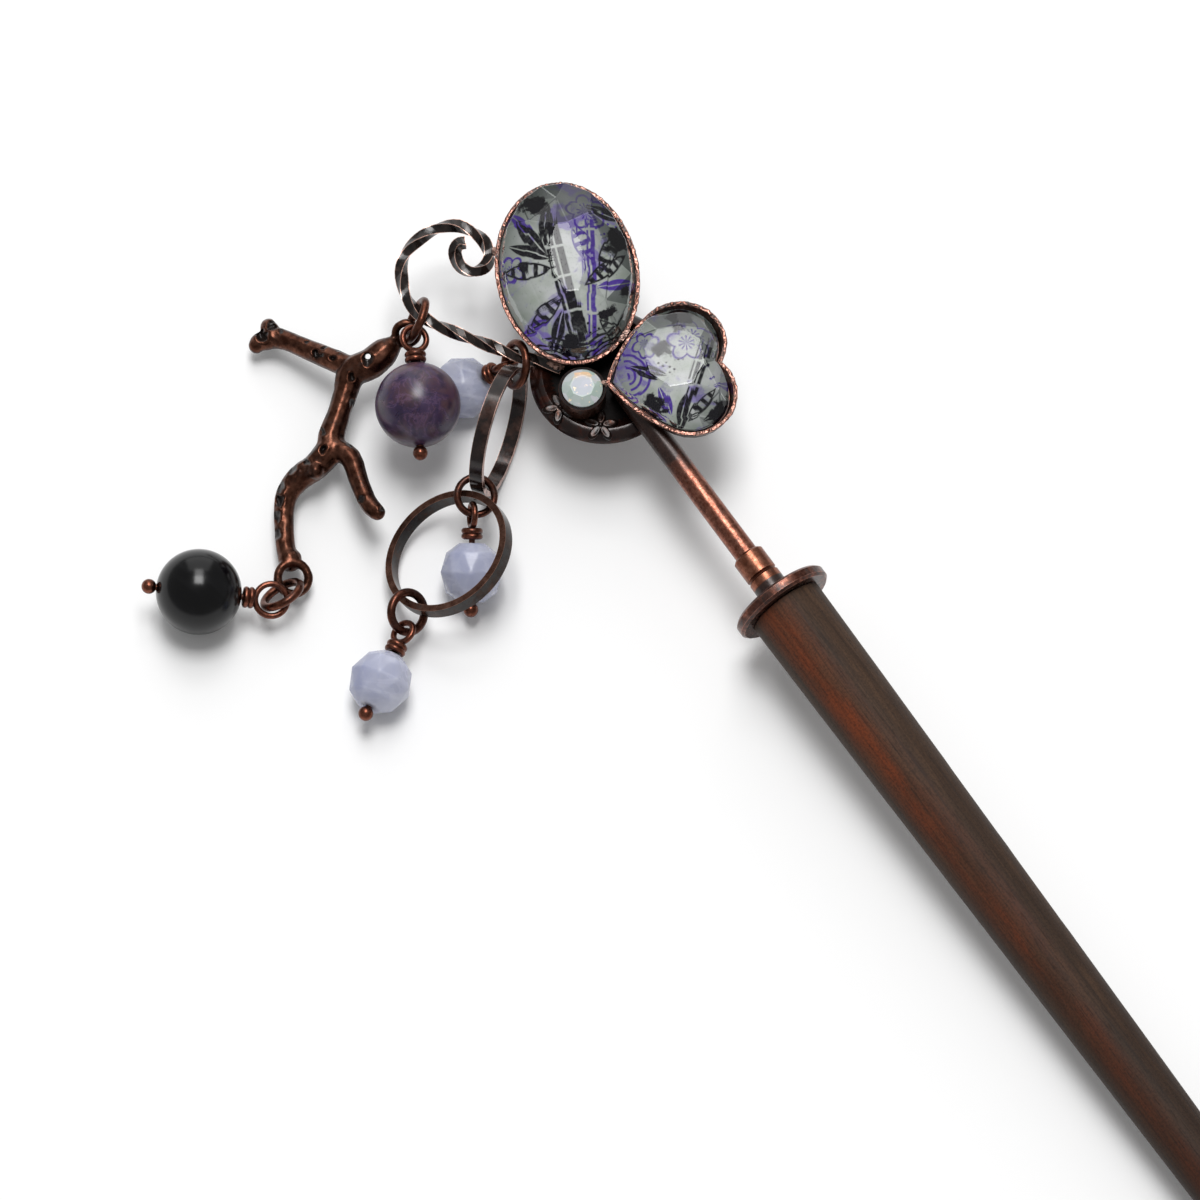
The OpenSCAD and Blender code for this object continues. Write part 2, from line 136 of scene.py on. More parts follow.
def mix(tree, share, first, second):
    """One colour over another. A mix of colours has them in its sockets 6 and 7."""
    made = add(tree, "Mix", share, settings={"data_type": "RGBA"})
    give(first, made.inputs[6])
    give(second, made.inputs[7])
    return made.outputs[2]


def between(tree, value, low, high, to_low=0.0, to_high=1.0):
    """A value spread from one range to another, and kept inside it."""
    return add(tree, "MapRange", value, low, high, to_low, to_high).outputs[0]


def place(tree, centre, turn=(0, 0, 0)):
    """Object coordinates measured from a centre, along turned axes, in millimetres."""
    spot = add(tree, "TexCoord").outputs["Object"]
    made = add(tree, "Mapping", spot, settings={"vector_type": "TEXTURE"})
    fill(made, Location=centre, Rotation=turn, Scale=(MM, MM, MM))
    return made.outputs[0]


def stretched(tree, spot, x, y, z):
    return add(tree, "Mapping", spot, Scale=(x, y, z)).outputs[0]


def cloud(tree, spot, scale, detail=4.0, roughness=0.55, distortion=0.0):
    made = add(tree, "TexNoise", Vector=spot, Scale=scale, Detail=detail, Roughness=roughness,
        Distortion=distortion)
    return made.outputs[0]


def new_finish(name):
    """An empty material: its node tree and its shader."""
    material = bpy.data.materials.new(name)
    material.use_nodes = True
    shader = next(n for n in material.node_tree.nodes if n.type == "BSDF_PRINCIPLED")
    return material, material.node_tree, shader


def wear(piece, material):
    piece.data.materials.clear()
    piece.data.materials.append(material)


def bump(tree, shader, height, depth):
    """Relief of a depth in millimetres."""
    made = add(tree, "Bump", Strength=1.0, Distance=depth * MM, Height=height)
    fill(shader, Normal=made.outputs[0])


LIE_ANGLE = math.radians(2.8)
WOOD_LENGTH = 125
# The redder band's turn round the stick, from its upper side towards -Y, and half its width
BAND_TURN, BAND_HALF = math.radians(37), 0.75
# How far along the wood the band and the paler brown start to darken
BAND_END, PALE_END = 30, 12
DARK_FIBRE, PALE_FIBRE, MOTTLE_BROWN = tone(50, 36, 27), tone(80, 59, 44), tone(58, 44, 34)
BAND_RED, WEAVE_BROWN, LINE_BROWN = tone(122, 58, 31), tone(32, 23, 18), tone(36, 25, 20)
PORE_BROWN, THIN_END_BROWN = tone(24, 17, 14), tone(27, 20, 18)
WOOD_RELIEF = 0.01

flange_low, flange_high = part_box("flange")
flange_mid = (flange_low + flange_high) / 2

wood, tree, shader = new_finish("dark_oiled_wood")
spot = place(tree, flange_mid, (0, LIE_ANGLE, 0))
fibre = cloud(tree, stretched(tree, spot, 0.09, 1.9, 1.9), 1.0, 6.0, 0.62, 0.4)
drift = cloud(tree, stretched(tree, spot, 0.03, 0.3, 0.3), 1.0, 3.0, 0.5, 0.3)
pore = cloud(tree, stretched(tree, spot, 0.45, 7.5, 7.5), 1.0, 3.0, 0.6)
pore = between(tree, pore, 0.56, 0.68)
line = cloud(tree, stretched(tree, spot, 0.05, 4.5, 4.5), 1.0, 4.0, 0.55, 0.6)
mottle = cloud(tree, stretched(tree, spot, 0.12, 0.4, 0.4), 1.0, 4.0, 0.6)
weave = cloud(tree, spot, 5.0, 2.0, 0.6)
along, beside, above = add(tree, "SeparateXYZ", spot).outputs
turn = calc(tree, "ARCTAN2", times(tree, beside, -1.0), above)
off_band = calc(tree, "ABSOLUTE", minus(tree, turn, BAND_TURN))
off_band = plus(tree, off_band, times(tree, minus(tree, drift, 0.5), 1.1))
in_band = between(tree, off_band, BAND_HALF, 0.05)
red_share = times(tree, in_band, between(tree, mottle, 0.36, 0.6, 0.3, 1.0))
red_share = times(tree, red_share, between(tree, along, BAND_END, 0.75 * WOOD_LENGTH, 1.0, 0.2))
colour = mix(tree, between(tree, fibre, 0.32, 0.68), DARK_FIBRE, PALE_FIBRE)
colour = mix(tree, between(tree, mottle, 0.42, 0.62, 0.0, 0.5), colour, MOTTLE_BROWN)
colour = mix(tree, times(tree, red_share, 0.85), colour, BAND_RED)
colour = mix(tree, between(tree, weave, 0.45, 0.65, 0.0, 0.42), colour, WEAVE_BROWN)
colour = mix(tree, between(tree, line, 0.5, 0.68, 0.0, 0.4), colour, LINE_BROWN)
colour = mix(tree, times(tree, pore, 0.45), colour, PORE_BROWN)
thin_share = between(tree, along, PALE_END, 0.8 * WOOD_LENGTH, 0.0, 0.72)
colour = mix(tree, thin_share, colour, THIN_END_BROWN)
fill(shader, Base_Color=colour, Roughness=between(tree, fibre, 0.3, 0.7, 0.54, 0.64))
fill(shader, Specular_IOR_Level=0.16)
bump(tree, shader, minus(tree, times(tree, weave, 0.5), pore), WOOD_RELIEF)

stick = joined_skin("stick", "stick_wood")
wear(stick, wood)


# The flange and the collar
# Turned metal, copper plated and antiqued: dark in its hollows, and rubbed bright on its edges.
# Both are slid on the rod, and the flange closes the thick end of the wood.

# Fineness of the patina's blotches, specks and rubbed places
BLOTCH, SPECK, RUB = 0.7, 3.4, 1.9


def aged_metal_group():
    """Antiqued copper: a dark patina that handling has rubbed off the edges and the high places."""
    group = bpy.data.node_groups.new("aged_metal", "ShaderNodeTree")
    for name in ("Body", "Worn", "Patina"):
        group.interface.new_socket(name, in_out="INPUT", socket_type="NodeSocketColor")
    for name, value in (
        ("Edge Width", 0.1), ("Edge Wear", 1.0), ("Hollow Reach", 0.6), ("Patina Cover", 0.3),
        ("Grain", 1.0), ("Smoothness", 0.7), ("Soot", 0.0),
    ):
        socket = group.interface.new_socket(name, in_out="INPUT", socket_type="NodeSocketFloat")
        socket.default_value = value
    group.interface.new_socket("Color", in_out="OUTPUT", socket_type="NodeSocketColor")
    for name in ("Roughness", "Metal", "Height"):
        group.interface.new_socket(name, in_out="OUTPUT", socket_type="NodeSocketFloat")
    given = group.nodes.new("NodeGroupInput")
    result = group.nodes.new("NodeGroupOutput")
    grained = add(group, "VectorMath", place(group, (0, 0, 0)), settings={"operation": "SCALE"})
    fill(grained, Scale=given.outputs["Grain"])
    spot = grained.outputs[0]
    blotch = cloud(group, spot, BLOTCH, 4.0, 0.6, 0.5)
    speck = cloud(group, spot, SPECK, 4.0, 0.7)
    rub = cloud(group, spot, RUB, 3.0, 0.6)

    radius = times(group, given.outputs["Edge Width"], MM)
    soft = add(group, "Bevel", radius, settings={"samples": 8})
    flat = add(group, "NewGeometry").outputs["Normal"]
    same = add(group, "VectorMath", soft.outputs[0], flat, settings={"operation": "DOT_PRODUCT"})
    edge = between(group, minus(group, 1.0, same.outputs["Value"]), 0.02, 0.16)
    reach = times(group, given.outputs["Hollow Reach"], MM)
    open_sky = add(group, "AmbientOcclusion", Distance=reach, settings={"samples": 8, "only_local": True})
    hollow = between(group, open_sky.outputs["AO"], 0.85, 0.4)
    edge = times(group, edge, minus(group, 1.0, hollow))
    edge = times(group, edge, between(group, rub, 0.32, 0.56, 0.25, 1.0))
    edge = times(group, edge, given.outputs["Edge Wear"])

    veil = plus(group, blotch, times(group, minus(group, speck, 0.5), 0.5))
    veil = minus(group, veil, minus(group, 1.0, given.outputs["Patina Cover"]))
    veil = between(group, veil, -0.18, 0.2)
    veil = calc(group, "MAXIMUM", calc(group, "MAXIMUM", veil, hollow), given.outputs["Soot"])
    rubbed = between(group, rub, 0.35, 0.7, 0.0, 0.35)
    colour = mix(group, rubbed, given.outputs["Body"], given.outputs["Worn"])
    colour = mix(group, times(group, veil, 0.92), colour, given.outputs["Patina"])
    colour = mix(group, edge, colour, given.outputs["Worn"])

    rough = minus(group, 1.0, given.outputs["Smoothness"])
    rough = plus(group, rough, between(group, speck, 0.3, 0.7, -0.07, 0.08))
    rough = plus(group, rough, times(group, edge, 0.16))
    bare = calc(group, "MAXIMUM", minus(group, 1.0, veil), edge)
    metal = between(group, bare, 0.0, 0.7, 0.25, 1.0)
    height = plus(group, times(group, speck, 0.6), blotch)
    fill(result, Color=colour, Roughness=rough, Metal=metal, Height=height)
    return group


aged_metal = aged_metal_group()


def copper(name, body, worn, patina, relief=0.012, shine=0.5, **values):
    """A finish of aged metal: its colours, its relief in millimetres and the group's own values."""
    material, tree, shader = new_finish(name)
    made = tree.nodes.new("ShaderNodeGroup")
    made.node_tree = aged_metal
    fill(made, Body=tone(*body), Worn=tone(*worn), Patina=tone(*patina), **values)
    colour, rough, metal, height = made.outputs
    fill(shader, Base_Color=colour, Roughness=rough, Metallic=metal, Specular_IOR_Level=shine)
    bump(tree, shader, height, relief)
    return material


def blacken(material, share):
    """Darkens an aged metal towards its patina, by a share from 0 to 1."""
    metal = next(n for n in material.node_tree.nodes if n.type == "GROUP")
    fill(metal, Soot=share)


# Where the collar turns dark towards the flange, along the stick, and how long that edge is
DARK_START, DARK_FADE = -2.25, 0.12

flange_copper = copper("flange_copper", (84, 50, 41), (208, 146, 126), (17, 12, 11),
    Edge_Width=0.2, Patina_Cover=0.54)
collar_copper = copper("collar_copper", (122, 74, 56), (206, 144, 119), (18, 13, 12),
    Edge_Width=0.12, Patina_Cover=0.33)
collar_tree = collar_copper.node_tree
reach = add(collar_tree, "SeparateXYZ", place(collar_tree, flange_mid, (0, LIE_ANGLE, 0))).outputs[0]
blacken(collar_copper, between(collar_tree, reach, DARK_START, DARK_START + DARK_FADE))
for node_name, finish in (("flange", flange_copper), ("collar", collar_copper)):
    piece = joined_skin(node_name, node_name + "_turned")
    wear(piece, finish)


# The soldered head
# A rod, a cast round plate, two bezels bent from strip, a small cup and a twisted square wire,
# soldered together, plated in copper and antiqued. The solder blends into one dark piece of metal.

PLAN_TURN = math.radians(55)
ELEVATION, AIM_HEIGHT = math.radians(66.7), 7.77
PLATE_AT, PLATE_R, PLATE_FLOOR = (-16.5, 23.0), 6.9, 7.9
CUP_AT, CUP_R = (-18.5, 20.4), 2.2
OVAL_AT, OVAL_HEADING, OVAL_HALF = (-19.9, 32.0), math.radians(99.2), (9.4, 6.7)
OVAL_BASE, OVAL_RIM = 9.5, 10.9
HEART_HEADING = math.radians(11)
HEART_BASE, HEART_RIM = 9.8, 11.2
# How far inside the plate's edge its floor starts, and where the scroll's wire is
FLOOR_INSET, SCROLL_LEFT, SCROLL_ABOVE = 2.0, -20, 8.5
# Slack when a face is told apart by its place, and the oval wall's reach as a share of its size
FINE_SLACK, SLACK, OVAL_REACH = 0.02, 0.05, 1.01
# How level a face of the cup is when it takes the floor's near-black finish, a painted shade on its top
LEVEL = 0.7
# Where the rod is black, along the stick: at the flange, and near the heat of the solder
NEAR_FLANGE, NEAR_HEAD, SMOKE = (-1.5, -1.3), (-13.6, -17.2), 7.0

to_plan = Matrix.Rotation(-PLAN_TURN, 3, "Z")


def in_plan(point):
    """Millimetres in the view from above: x to the right, y away, from under the flange's middle."""
    across = to_plan @ Vector((point.x - flange_mid.x, point.y - flange_mid.y, 0))
    return across.x / MM, across.y / MM, point.z / MM


def from_plan(x, y, z):
    across = to_plan.inverted() @ Vector((x, y, 0)) * MM
    return Vector((across.x + flange_mid.x, across.y + flange_mid.y, z * MM))


def oval_share(x, y):
    """How far a plan point is from the oval's middle, as a share of the way to its rim."""
    dx, dy = x - OVAL_AT[0], y - OVAL_AT[1]
    along = dx * math.cos(OVAL_HEADING) + dy * math.sin(OVAL_HEADING)
    beside = -dx * math.sin(OVAL_HEADING) + dy * math.cos(OVAL_HEADING)
    return math.hypot(along / OVAL_HALF[0], beside / OVAL_HALF[1])


def head_part(point):
    """Which of the soldered parts a point of the head's skin is on."""
    x, y, z = in_plan(point)
    from_plate = math.hypot(x - PLATE_AT[0], y - PLATE_AT[1])
    from_cup = math.hypot(x - CUP_AT[0], y - CUP_AT[1])
    past_plate = from_plate > PLATE_R + SLACK
    if z > OVAL_BASE - FINE_SLACK and oval_share(x, y) < OVAL_REACH:
        return "bezel"
    if from_cup < CUP_R + FINE_SLACK and z > PLATE_FLOOR + 0.5 * FINE_SLACK:
        return "cup"
    if z > HEART_BASE - FINE_SLACK:
        return "bezel"
    if x < SCROLL_LEFT and z > PLATE_FLOOR and (past_plate or z > SCROLL_ABOVE):
        return "scroll"
    if past_plate:
        return "rod"
    if from_plate < PLATE_R - FLOOR_INSET and z > PLATE_FLOOR - SLACK:
        return "sunk"
    return "plate"


head_finishes = {
    "plate": copper("plate_patina", (88, 44, 34), (160, 104, 86), (9, 7, 7),
        Edge_Width=0.12, Edge_Wear=0.25, Patina_Cover=0.68, Grain=0.6, Hollow_Reach=1.0, Smoothness=0.8),
    # Near-black: patina on the plate's sunk floor, and painted shade on the cup's level top
    "sunk": copper("sunk_patina", (26, 17, 14), (96, 64, 54), (6, 5, 5), shine=0.12,
        Edge_Width=0.05, Edge_Wear=0.7, Patina_Cover=0.8, Hollow_Reach=1.2, Smoothness=0.5),
    "rod": copper("rod_copper", (116, 68, 53), (224, 160, 138), (20, 13, 12),
        Edge_Width=0.15, Patina_Cover=0.36, Grain=1.5),
    "bezel": copper("bezel_copper", (70, 42, 35), (190, 134, 116), (14, 10, 9),
        Edge_Width=0.1, Edge_Wear=0.5, Patina_Cover=0.6),
    "cup": copper("cup_copper", (92, 56, 44), (150, 102, 84), (14, 10, 9),
        Edge_Width=0.06, Edge_Wear=0.45, Patina_Cover=0.5),
    "scroll": copper("scroll_patina", (50, 38, 36), (244, 198, 180), (9, 8, 8), relief=0.005,
        Edge_Width=0.15, Edge_Wear=1.4, Patina_Cover=0.86, Grain=0.6, Hollow_Reach=0.3, Smoothness=0.84),
}

# The rod darker: all round between the collar and the flange, and with soot over its end near the solder
rod_tree = head_finishes["rod"].node_tree
rod_spot = place(rod_tree, flange_mid, (0, LIE_ANGLE, 0))
reach = add(rod_tree, "SeparateXYZ", rod_spot).outputs[0]
smoke = minus(rod_tree, cloud(rod_tree, rod_spot, 0.8, 4.0, 0.6), 0.5)
near_flange = between(rod_tree, reach, *NEAR_FLANGE)
near_head = between(rod_tree, plus(rod_tree, reach, times(rod_tree, smoke, SMOKE)), *NEAR_HEAD)
blacken(head_finishes["rod"], calc(rod_tree, "MAXIMUM", near_flange, near_head))

head = joined_skin("head_setting", "head_soldered", 30)
head.data.materials.clear()
for finish in head_finishes.values():
    head.data.materials.append(finish)
slots = list(head_finishes)
for face in head.data.polygons:
    part = head_part(face.center)
    # Painted shade: the cup's level top faces take the near-black finish
    if part == "cup" and face.normal.z > LEVEL:
        part = "sunk"
    face.material_index = slots.index(part)


# The two bezel rims
# The top edge of each bezel, pressed over its stone with a burnisher: an uneven line of bare
# copper along its outer side, with dark dents in it. Its walls, its inner side most, and its far
# side from the camera are painted dark, a painted shade that leaves a bright line along the top.

RIM_GRID, RIM_THICK, RIM_DENT = 0.06, 0.14, 0.08
# Fineness of the long and the short dents
LONG_DENT, SHORT_DENT = 1.3, 3.7


def with_painted_shade_and_patina(material):
    """Lets a piece's own attribute of painted shade and patina darken its aged metal."""
    spread = add(material.node_tree, "Attribute", settings={"attribute_name": "painted_shade_and_patina"})
    blacken(material, spread.outputs["Fac"])
    return material


rim_copper = with_painted_shade_and_patina(copper("rim_copper", (120, 78, 66), (236, 188, 172), (20, 13, 12),
    relief=0.006, Edge_Wear=0.3, Patina_Cover=0.3, Grain=1.7, Hollow_Reach=0.15))


def reshape(piece, kind, **values):
    """Applies one modifier with these values."""
    step = piece.modifiers.new("step", kind)
    for key, value in values.items():
        setattr(step, key, value)
    bpy.ops.object.modifier_apply(modifier=step.name)


def pressed_rim(name, height, inside):
    """The flat top of one bezel wall, inside or outside the oval, made thick and dented along its way."""
    pick(head)
    switch_to("EDIT")
    bpy.ops.mesh.select_mode(type="FACE")
    bpy.ops.mesh.select_all(action="DESELECT")
    switch_to("OBJECT")
    for face in head.data.polygons:
        x, y, z = in_plan(face.center)
        on_top = abs(z - height) < 0.01 and face.normal.z > 0.9
        face.select = on_top and (oval_share(x, y) < OVAL_REACH) == inside
    switch_to("EDIT")
    bpy.ops.mesh.duplicate()
    bpy.ops.mesh.separate(type="SELECTED")
    switch_to("OBJECT")
    rim = next(piece for piece in bpy.context.selected_objects if piece is not head)
    rim.name = name
    for key in [k for k in rim.keys() if k.startswith("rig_")]:
        del rim[key]
    pick(rim)
    reshape(rim, "SOLIDIFY", thickness=RIM_THICK * MM, offset=0.2)
    reshape(rim, "REMESH", mode="VOXEL", voxel_size=RIM_GRID * MM, use_smooth_shade=True)
    reshape(rim, "SMOOTH", factor=0.5, iterations=4)
    painted_shade_and_patina = rim.data.attributes.new("painted_shade_and_patina", "FLOAT", "POINT")
    low, high = (Vector(end(p.co[i] for p in rim.data.vertices) for i in range(3)) for end in (min, max))
    middle_of_rim = (low + high) / 2
    normals = [point.normal.copy() for point in rim.data.vertices]
    for point, normal in zip(rim.data.vertices, normals):
        spot = Vector(in_plan(point.co))
        dent = noise.noise(spot * LONG_DENT) * 0.8 + noise.noise(spot * SHORT_DENT) * 0.9
        outward = point.co - middle_of_rim
        outward.z = 0
        outward.normalize()
        lean = normal.dot(outward)
        far_side = max(0.0, (to_plan @ outward).y)
        # Painted shade on the rim's walls, most on its inner side, and on its far side from the camera,
        # with patina in its dents
        dark = 0.1 + 1.4 * abs(lean) - 0.3 * lean - (1.0 + far_side) * dent + 0.45 * far_side
        painted_shade_and_patina.data[point.index].value = min(max(dark, 0.0), 1.0)
        point.co += normal * dent * RIM_DENT * MM
    wear(rim, rim_copper)
    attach(rim, "root")


pressed_rim("oval_rim_pressed", OVAL_RIM, True)
pressed_rim("heart_rim_pressed", HEART_RIM, False)


# The cast flowers
# Flowers cast with the plate, round its rim: five hollowed petals round a small boss. The patina
# fills the hollows, and the ridges of the petals are rubbed.

# Distance from the plate's middle, turn of the first flower, and the step from one to the next
FLOWER_OUT, FLOWER_TURN, FLOWER_STEP = 5.45, math.radians(-93), math.radians(45)
# Places of the flowers, in steps; the rod takes the place of one
FLOWER_PLACES = (-1, 0, 2, 3, 4, 5)
PETALS = 5
PETAL_AT, PETAL_HALF = 0.84, (0.84, 0.44, 0.34)
PETAL_RISE, PETAL_DROOP, PETAL_HOLLOW = 0.56, 0.08, 0.12
# Half the hollow's length and width, as shares of the petal's
HOLLOW_SHARE = (0.72, 0.66)
BOSS_R, BOSS_RISE = 0.27, 0.7


def copies(piece, count):
    """This piece and further ones like it, each with a mesh of its own."""
    made = [piece]
    while len(made) < count:
        made.append(piece.copy())
        made[-1].data = piece.data.copy()
        bpy.context.scene.collection.objects.link(made[-1])
    return made


petal_copper = copper("petal_copper", (40, 25, 20), (102, 70, 58), (8, 6, 6),
    relief=0.006, Edge_Wear=0.1, Patina_Cover=0.62, Hollow_Reach=0.6, Smoothness=0.82)
bpy.ops.object.select_all(action="DESELECT")
bpy.ops.mesh.primitive_uv_sphere_add(segments=28, ring_count=18, radius=MM)
flower = bpy.context.object
flower.name = "rim_flower"
switch_to("EDIT")
bpy.ops.transform.resize(value=PETAL_HALF)
switch_to("OBJECT")
for point in flower.data.vertices:
    x, y, z = point.co / MM
    out_along = x / (HOLLOW_SHARE[0] * PETAL_HALF[0])
    out_beside = y / (HOLLOW_SHARE[1] * PETAL_HALF[1])
    if z > 0:
        z -= PETAL_HOLLOW * max(0.0, 1 - out_along ** 2 - out_beside ** 2)
    point.co = Vector((x + PETAL_AT, y, z + PETAL_RISE - PETAL_DROOP * (x + PETAL_AT))) * MM
switch_to("EDIT")
bpy.ops.mesh.select_all(action="SELECT")
bpy.ops.transform.rotate(value=math.pi / PETALS, orient_axis="Z", center_override=(0, 0, 0))
for petal in range(PETALS - 1):
    bpy.ops.mesh.duplicate()
    bpy.ops.transform.rotate(value=2 * math.pi / PETALS, orient_axis="Z", center_override=(0, 0, 0))
boss_at = (0, 0, BOSS_RISE * MM)
bpy.ops.mesh.primitive_uv_sphere_add(segments=20, ring_count=12, radius=BOSS_R * MM, location=boss_at)
switch_to("OBJECT")
bpy.ops.object.shade_smooth()
wear(flower, petal_copper)
for number, copy in zip(FLOWER_PLACES, copies(flower, len(FLOWER_PLACES))):
    copy.name = "rim_flower_" + str(number + 2)
    turn = FLOWER_TURN + FLOWER_STEP * number
    for point in copy.data.vertices:
        x, y, z = point.co / MM
        plan_x = PLATE_AT[0] + (FLOWER_OUT + x) * math.cos(turn) - y * math.sin(turn)
        plan_y = PLATE_AT[1] + (FLOWER_OUT + x) * math.sin(turn) + y * math.cos(turn)
        point.co = from_plan(plan_x, plan_y, PLATE_FLOOR + z)
    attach(copy, "root")


# The solder
# Rough lumps of solder where the bezels, the cup and the scroll meet, plated with the rest and
# rubbed bright on top.

# Lumps [x, y, z in plan, half length, half width, half height, heading]
SOLDER = (
    (-14.6, 25.5, 11.1, 0.8, 0.34, 0.32, 52), (-20.9, 23.4, 9.25, 0.85, 0.42, 0.3, -17),
    (-26.7, 34.9, 9.45, 0.42, 0.3, 0.42, 90), (-16.4, 20.9, 10.6, 0.32, 0.26, 0.34, 0),
)
# Height and fineness of the roughness
SOLDER_LUMP, SOLDER_GRAIN = 0.16, 2.6

solder_copper = copper("solder_copper", (184, 146, 132), (250, 224, 212), (26, 19, 17),
    relief=0.02, Edge_Wear=0.2, Patina_Cover=0.34, Grain=2.6, Hollow_Reach=0.15, Smoothness=0.66)
bpy.ops.object.select_all(action="DESELECT")
bpy.ops.mesh.primitive_ico_sphere_add(subdivisions=5, radius=1)
lumps = copies(bpy.context.object, len(SOLDER))
for number, lump in enumerate(lumps, 1):
    x, y, z, long, wide, high, heading = SOLDER[number - 1]
    lump.name = "solder_lump_" + str(number)
    turn = Matrix.Rotation(math.radians(heading), 3, "Z")
    for point in lump.data.vertices:
        spot = turn @ Vector((point.co.x * long, point.co.y * wide, point.co.z * high))
        rough = noise.fractal(spot * SOLDER_GRAIN + Vector((x, y, z)), 0.6, 2.0, 4)
        spot += point.co * SOLDER_LUMP * rough
        point.co = from_plan(x + spot.x, y + spot.y, z + spot.z)
    pick(lump)
    bpy.ops.object.shade_smooth()
    wear(lump, solder_copper)
    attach(lump, "root")


# The printed discs
# Paper printed in black and purple on a cream grey ground, glued under the two glass stones.
# Sprays of bamboo, blossoms and waves fill them, in a general pattern of the craft.

BLACK_INK, PURPLE_INK, PURPLE_WASH = tone(10, 8, 16), tone(64, 34, 132), tone(98, 74, 158)
PAPER_GREY, PAPER_PALE, PAPER_SHADE = tone(160, 166, 154), tone(186, 187, 184), tone(88, 96, 88)
FLECK_GREY = tone(60, 52, 74)


